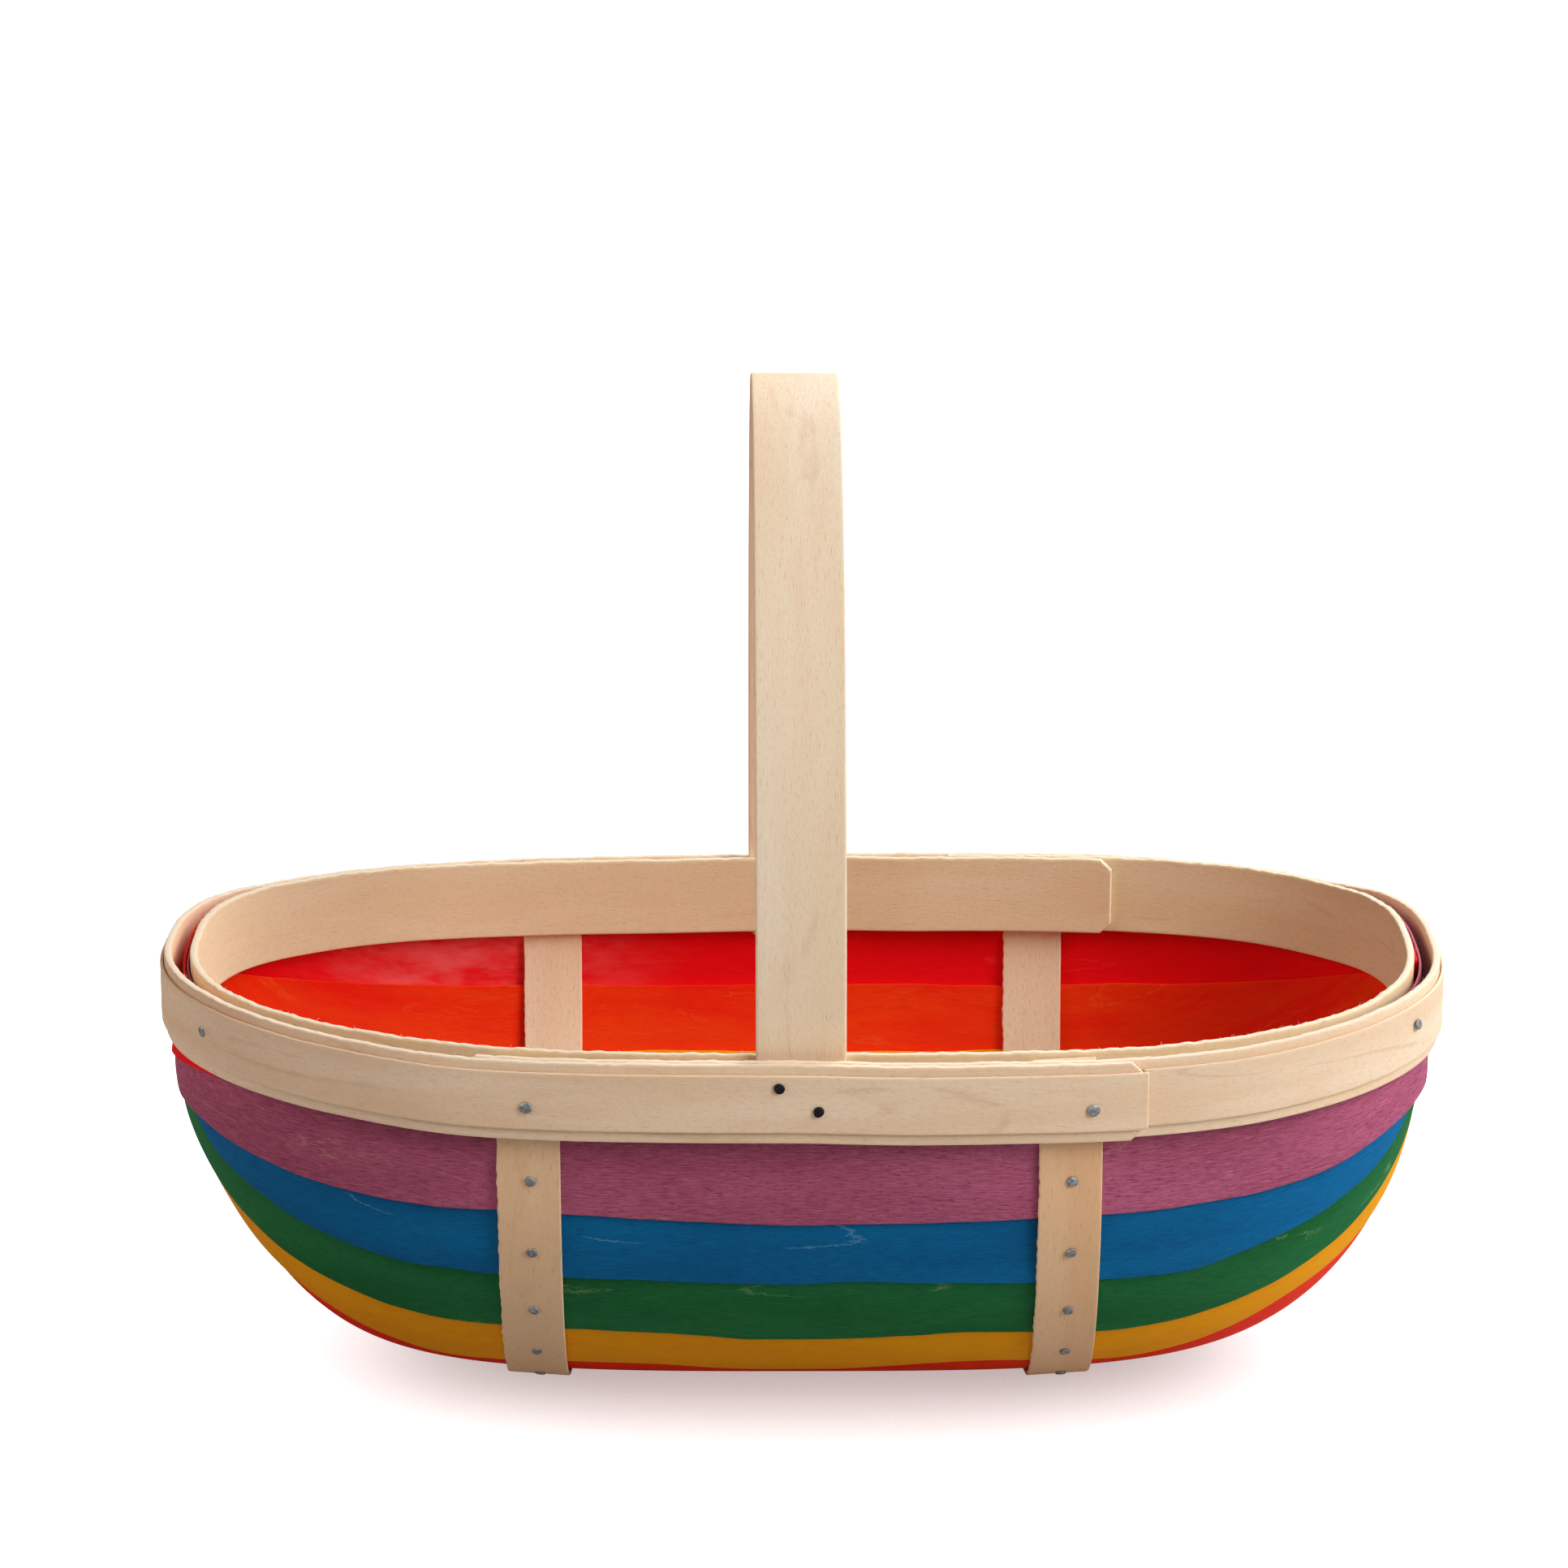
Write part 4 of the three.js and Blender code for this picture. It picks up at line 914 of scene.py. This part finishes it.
innerPart = hoopPart(*hoopCourse, height=rim["height"], fray=0.3, seed=41, corner=hoops["cornerCut"])
innerFibres = edgeFibres(*hoopCourse, count=260, seed=42)
makePiece("inner_hoop_wood", [innerPart, innerFibres], woods["inner_hoop"], ["inner_hoop"])
print("hoops made")

# Cross straps
straps = {
    "places": {"left": -82, "right": 79.3}, "innerPlaces": {"left": -82, "right": 77}, "width": 19,
    "topInset": 2, "flatShare": 0.06, "bentShare": 0.096, "liftSteps": (-0.024, -0.012, 0, 0.012, 0.024),
    "rows": 260, "columns": 10, "roundness": 0.3, "waves": ((0.16, 4), (0.12, 31)), "waveDepth": 1.2,
    "patternRow": 0.2,
}


# Lift of an outer strap: a line through the slats' lower edges, which it rests on
def strapLift(share):
    fromPole = np.where(share > 1, 2 - share, share)
    lower = np.array(slatShares["lower"])
    keys = np.concatenate([[slatShares["upper"][0]], np.minimum(lower, 1)])
    levels = np.concatenate([[0], edgeCount(lower) - np.arange(1, 7)])
    return pitch * np.interp(fromPole, keys, levels) + pitch


def strapPart(x, outer, seed):
    edges = np.array([x - straps["width"] / 2, x + straps["width"] / 2])
    half = sectionTable(np.array([float(straps["places"]["right"])]))[0][0, -1]
    topShare = (shell["poleRise"] - rim["height"] + straps["topInset"]) / half
    share = np.linspace(topShare, 2 - topShare, straps["rows"])
    low = sum(strapLift(share + step) for step in straps["liftSteps"]) / len(straps["liftSteps"])
    if not outer:
        low = np.full_like(share, -layers["gap"] - layers["strap"])
    point, normal = girthPoint(edges, np.tile(share, (2, 1)))
    faces = []
    for lift in (low, low + layers["strap"]):
        face = lifted(point, normal, np.tile(lift, (2, 1)))
        face[..., 0] = edges[:, None]
        faces.append(face)
    if outer:
        node = "outer_strap_left" if x < 0 else "outer_strap_right"
        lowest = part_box(node)[0].z / metre - shellPlace[2] / metre
        flat = 1 - smoothStep(np.abs(share - 1), straps["flatShare"], straps["bentShare"])
        faces[1][..., 2] = mix(faces[1][..., 2], lowest, flat)
    run = (share - topShare) * half
    rough = sum(size * wander(run, period, seed + i) for i, (size, period) in enumerate(straps["waves"]))

    def pointAt(across, offset):
        s = (across / straps["width"])[..., None]
        t = (offset / layers["strap"])[..., None]
        inner = mix(faces[0][0][:, None], faces[0][1][:, None], s)
        outerFace = mix(faces[1][0][:, None], faces[1][1][:, None], s)
        place = mix(inner, outerFace, t)
        place[..., 0] += rough[:, None] * np.exp(-across / straps["waveDepth"])
        return place

    return stripMesh(run, straps["width"], layers["strap"], straps["roundness"], straps["columns"], pointAt,
                     np.array([seed, straps["patternRow"]]))


for index, (side, x) in enumerate(straps["places"].items()):
    outer = strapPart(x, outer=True, seed=51 + 4 * index)
    inner = strapPart(straps["innerPlaces"][side], outer=False, seed=53 + 4 * index)
    makePiece(f"outer_strap_{side}_wood", [outer], woods[side + "_strap"],
              [f"outer_strap_{side}"])
    makePiece(f"inner_strap_{side}_wood", [inner], woods["inner_strap"],
              [f"inner_strap_{side}"])
print("straps made")

# Handle: a strip bent to an arch |y / foot|^p + |z / rise|^p = 1, its feet straight down
handle = {
    "width": 26.8, "rise": handleTop - rim["height"], "foot": 2.4, "seatGap": 0.39, "offset": -2.3,
    "skew": -3, "archPower": 2.1, "cornerCut": 2, "rows": 420, "columns": 14, "roundness": 0.45,
}


def handlePart():
    foot = shellTop[1] - handle["seatGap"] - layers["handle"] / 2
    angle = np.pi * (1 - np.linspace(0, 1, 4 * samples + 1))
    c, s = np.cos(angle), np.sin(angle)
    power = 2 / handle["archPower"]
    y = foot * np.sign(c) * np.abs(c) ** power
    z = (handle["rise"] - layers["handle"] / 2) * np.abs(s) ** power
    below = -rim["height"] - handle["foot"]
    y = np.concatenate([[-foot], y, [foot]])
    z = np.concatenate([[below], z, [below]])
    run = np.concatenate([[0], np.cumsum(np.hypot(np.diff(y), np.diff(z)))])
    stations = np.linspace(0, run[-1], handle["rows"])
    y, z = np.interp(stations, run, y), np.interp(stations, run, z)
    dy, dz = np.gradient(y), np.gradient(z)
    size = np.hypot(dy, dz)
    outY, outZ = -dz / size, dy / size
    cut = np.maximum(0, handle["cornerCut"] - np.minimum(stations, stations[-1] - stations))
    middle = handle["offset"] + handle["skew"] * y / rim["width"]

    def pointAt(across, offset):
        out = offset - layers["handle"] / 2
        half = handle["width"] / 2
        px = middle[:, None] + (across / half - 1) * (half - cut[:, None])
        return np.stack([px, y[:, None] + outY[:, None] * out,
                         rim["height"] + z[:, None] + outZ[:, None] * out], -1)

    return stripMesh(stations, handle["width"], layers["handle"], handle["roundness"], handle["columns"],
                     pointAt, np.array([61, 0.4]))


makePiece("handle_wood", [handlePart()], woods["handle"], ["handle"])
print("handle made")

# Nails: each head is turned on the axis of its CAD nail
nails = {
    "radii": {"strap": 1.62, "hoop": 1.85, "tip": 1.65, "handle": 1.62}, "height": 0.75, "sides": 22,
    "shank": 1.2, "rimShare": 0.9, "tilt": 0.03, "wobble": ((2, 0.035), (3, 0.02)), "seed": 700,
    "helper": (0.3, 0.5, 0.8), "marks": (900, 900, 900), "spots": (350, 350, 350),
}
# Radius and height of a head's profile, in shares of the head's, from the shank up
nailProfile = np.array([
    (0.42, -nails["shank"] / nails["height"]), (0.42, -0.05), (0.9, -0.04), (1, 0.2), (1, 0.55),
    (0.93, 0.8), (0.75, 0.93), (0.4, 1), (0.08, 1.02),
])


def makeNailSteel(name, base, worn, roughness):
    recipe = Recipe(bpy.data.materials.new(name))
    place = recipe.place()
    marks = recipe.noise(place, nails["marks"], 3, 0.6)
    spots = recipe.noise(place, nails["spots"], 2, 0.6)
    shade = recipe.blend(marks.between(0.4, 0.7), base, worn)
    return recipe.finish(shade, roughness + spots * 0.25, marks + spots, 0.0002, metallic=0.6)


steel = makeNailSteel("steel_nail", colour(120, 122, 124), colour(176, 178, 180), 0.32)
black = makeNailSteel("black_nail", colour(16, 16, 16), colour(34, 34, 34), 0.4)


# Middle of the head's seat and the outward axis of a CAD nail, from the spread of its points
def nailAxis(node):
    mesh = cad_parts[node].data
    points = np.zeros(len(mesh.vertices) * 3)
    mesh.vertices.foreach_get("co", points)
    points = np.unique(points.reshape(-1, 3).round(7), axis=0) / metre
    centre = points.mean(0)
    values, vectors = np.linalg.eigh(np.cov((points - centre).T))
    odd = 0 if values[1] - values[0] > values[2] - values[1] else 2
    axis = vectors[:, odd]
    along = (points - centre) @ axis
    aside = np.linalg.norm(points - centre - along[:, None] * axis, axis=1)
    wide = along[aside > aside.max() * nails["rimShare"]]
    if wide.mean() < along.mean():
        axis, along, wide = -axis, -along, -wide
    return centre + axis * wide.min(), axis


def nailPart(seat, axis, radius, seed):
    rng = np.random.default_rng(seed)
    axis = axis + rng.normal(size=3) * nails["tilt"]
    axis /= np.linalg.norm(axis)
    side = np.cross(axis, nails["helper"])
    side /= np.linalg.norm(side)
    other = np.cross(axis, side)
    turn = np.linspace(0, 2 * np.pi, nails["sides"], endpoint=False)
    wobble = 1 + sum(size * np.sin(lobes * turn + rng.uniform(0, 6)) for lobes, size in nails["wobble"])
    reach = nailProfile[:, :1] * radius * wobble
    rise = np.broadcast_to(nailProfile[:, 1:] * nails["height"], reach.shape)
    points = (seat + reach[..., None] * (np.cos(turn)[:, None] * side + np.sin(turn)[:, None] * other)
              + rise[..., None] * axis)
    rows, columns = reach.shape
    i, j = np.meshgrid(np.arange(rows - 1), np.arange(columns), indexing="ij")
    i, j = i.ravel(), j.ravel()
    k = (j + 1) % columns
    faces = np.stack([i * columns + j, i * columns + k, (i + 1) * columns + k, (i + 1) * columns + j], 1)
    bottom = np.arange(columns)[None, ::-1]
    top = (rows - 1) * columns + np.arange(columns)[None]
    groups = [faces, bottom, top]
    uvs = [np.zeros(group.shape + (2,)) for group in groups]
    return {"points": points.reshape(-1, 3), "faces": groups, "uv": uvs, "edge": np.zeros(rows * columns)}


nailNodes = sorted(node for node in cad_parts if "nail" in node)
for index, node in enumerate(nailNodes):
    seat, axis = nailAxis(node)
    kind = node.split("_")[0]
    part = nailPart(seat - shellPlace / metre, axis, nails["radii"][kind], nails["seed"] + index)
    material, slot = (black, "black_nail") if kind == "handle" else (steel, "steel_nail")
    makePiece(node + "_head", [part], material, [node])
print("nails made:", len(nailNodes))

# Stage: a white floor that glows for the camera, with a soft shadow painted into its glow under the
# basket, disks of light aimed at the basket, and a white backdrop that lights it only a little
white = (1, 1, 1, 1)
stage = {
    "floorSize": 16, "floorGrey": (0.56, 0.56, 0.56, 1), "seenGrey": (0.15, 0.15, 0.15, 1),
    "paintedShadowGlow": colour(184, 166, 164), "openGlow": 1.5, "shadowReach": 2, "shadowSamples": 16,
    "surround": 0.02, "aim": (0, 0, 0.1),
}
lights = {
    "key": {"place": (1.5, -0.35, 1.45), "size": 1.1, "power": 15, "tint": (0.94, 1.01, 1.13)},
    "rightFront": {"place": (1.5, -1.2, 1.2), "size": 1.1, "power": 23.5, "tint": (1.02, 0.97, 0.93)},
    "rightTop": {"place": (1.0, -0.6, 1.9), "size": 1.1, "power": 3, "tint": (1, 1, 1)},
    "left": {"place": (-1.6, -0.6, 1.0), "size": 1.2, "power": 9.5, "tint": (1.13, 0.93, 0.85)},
    "back": {"place": (0.9, 1.3, 1.4), "size": 1.2, "power": 27, "tint": (1, 1, 1)},
}


# The camera sees a floor that glows white in the open and less under the basket: a painted shadow,
# its depth taken from ambient occlusion rather than cast by the lamps, over a dim grey that takes the
# lamps' own shadows. Everything else sees a plain grey one.
def makeFloor():
    recipe = Recipe(bpy.data.materials.new("floor"))
    cameraRay = recipe.node("LightPath", output=0)
    # Painted shadow: how open the floor is to what lies above it, which dims its glow under the basket
    paintedShadowOpenness = recipe.node("AmbientOcclusion", {"Distance": stage["shadowReach"]}, output=1,
                           samples=stage["shadowSamples"])
    unseen = recipe.node("BsdfDiffuse", [stage["floorGrey"]])
    paint = recipe.node("BsdfDiffuse", [stage["seenGrey"]])
    # Glow the floor keeps inside its painted shadow, its darkest level under the basket
    shade = recipe.node("Emission", {"Color": stage["paintedShadowGlow"], "Strength": 1})
    glow = recipe.node("Emission", {"Color": white, "Strength": paintedShadowOpenness * stage["openGlow"]})
    seen = recipe.node("AddShader", [recipe.node("AddShader", [paint, shade]), glow])
    recipe.node("OutputMaterial", [recipe.node("MixShader", [cameraRay, unseen, seen])])
    half = stage["floorSize"] / 2
    corners = [(-half, -half, 0), (half, -half, 0), (half, half, 0), (-half, half, 0)]
    mesh = bpy.data.meshes.new("floor")
    mesh.from_pydata(corners, [], [(0, 1, 2, 3)])
    mesh.materials.append(recipe.owner)
    floor = bpy.data.objects.new("floor", mesh)
    scene.collection.objects.link(floor)


def makeLights():
    for name, light in lights.items():
        data = bpy.data.lights.new(name, "AREA")
        data.shape = "DISK"
        data.size = light["size"]
        data.energy = light["power"]
        data.color = light["tint"]
        lamp = bpy.data.objects.new(name, data)
        place = Vector(light["place"])
        turn = (Vector(stage["aim"]) - place).to_track_quat("-Z", "Y").to_matrix().to_4x4()
        lamp.matrix_world = Matrix.Translation(place) @ turn
        scene.collection.objects.link(lamp)


# White where the camera or a reflection sees it, and hardly a light otherwise
def makeSurround():
    recipe = Recipe(bpy.data.worlds.new("surround"))
    scene.world = recipe.owner
    cameraRay = recipe.node("LightPath", output="Is Camera Ray")
    glossyRay = recipe.node("LightPath", output="Is Glossy Ray")
    strength = recipe.node("MapRange", {
        "Value": cameraRay.math("MAXIMUM", glossyRay), "To Min": stage["surround"], "To Max": 1})
    recipe.node("OutputWorld", [recipe.node("Background", {"Color": white, "Strength": strength})])


makeFloor()
makeLights()
makeSurround()
scene.view_settings.view_transform = "Standard"
print("stage made")
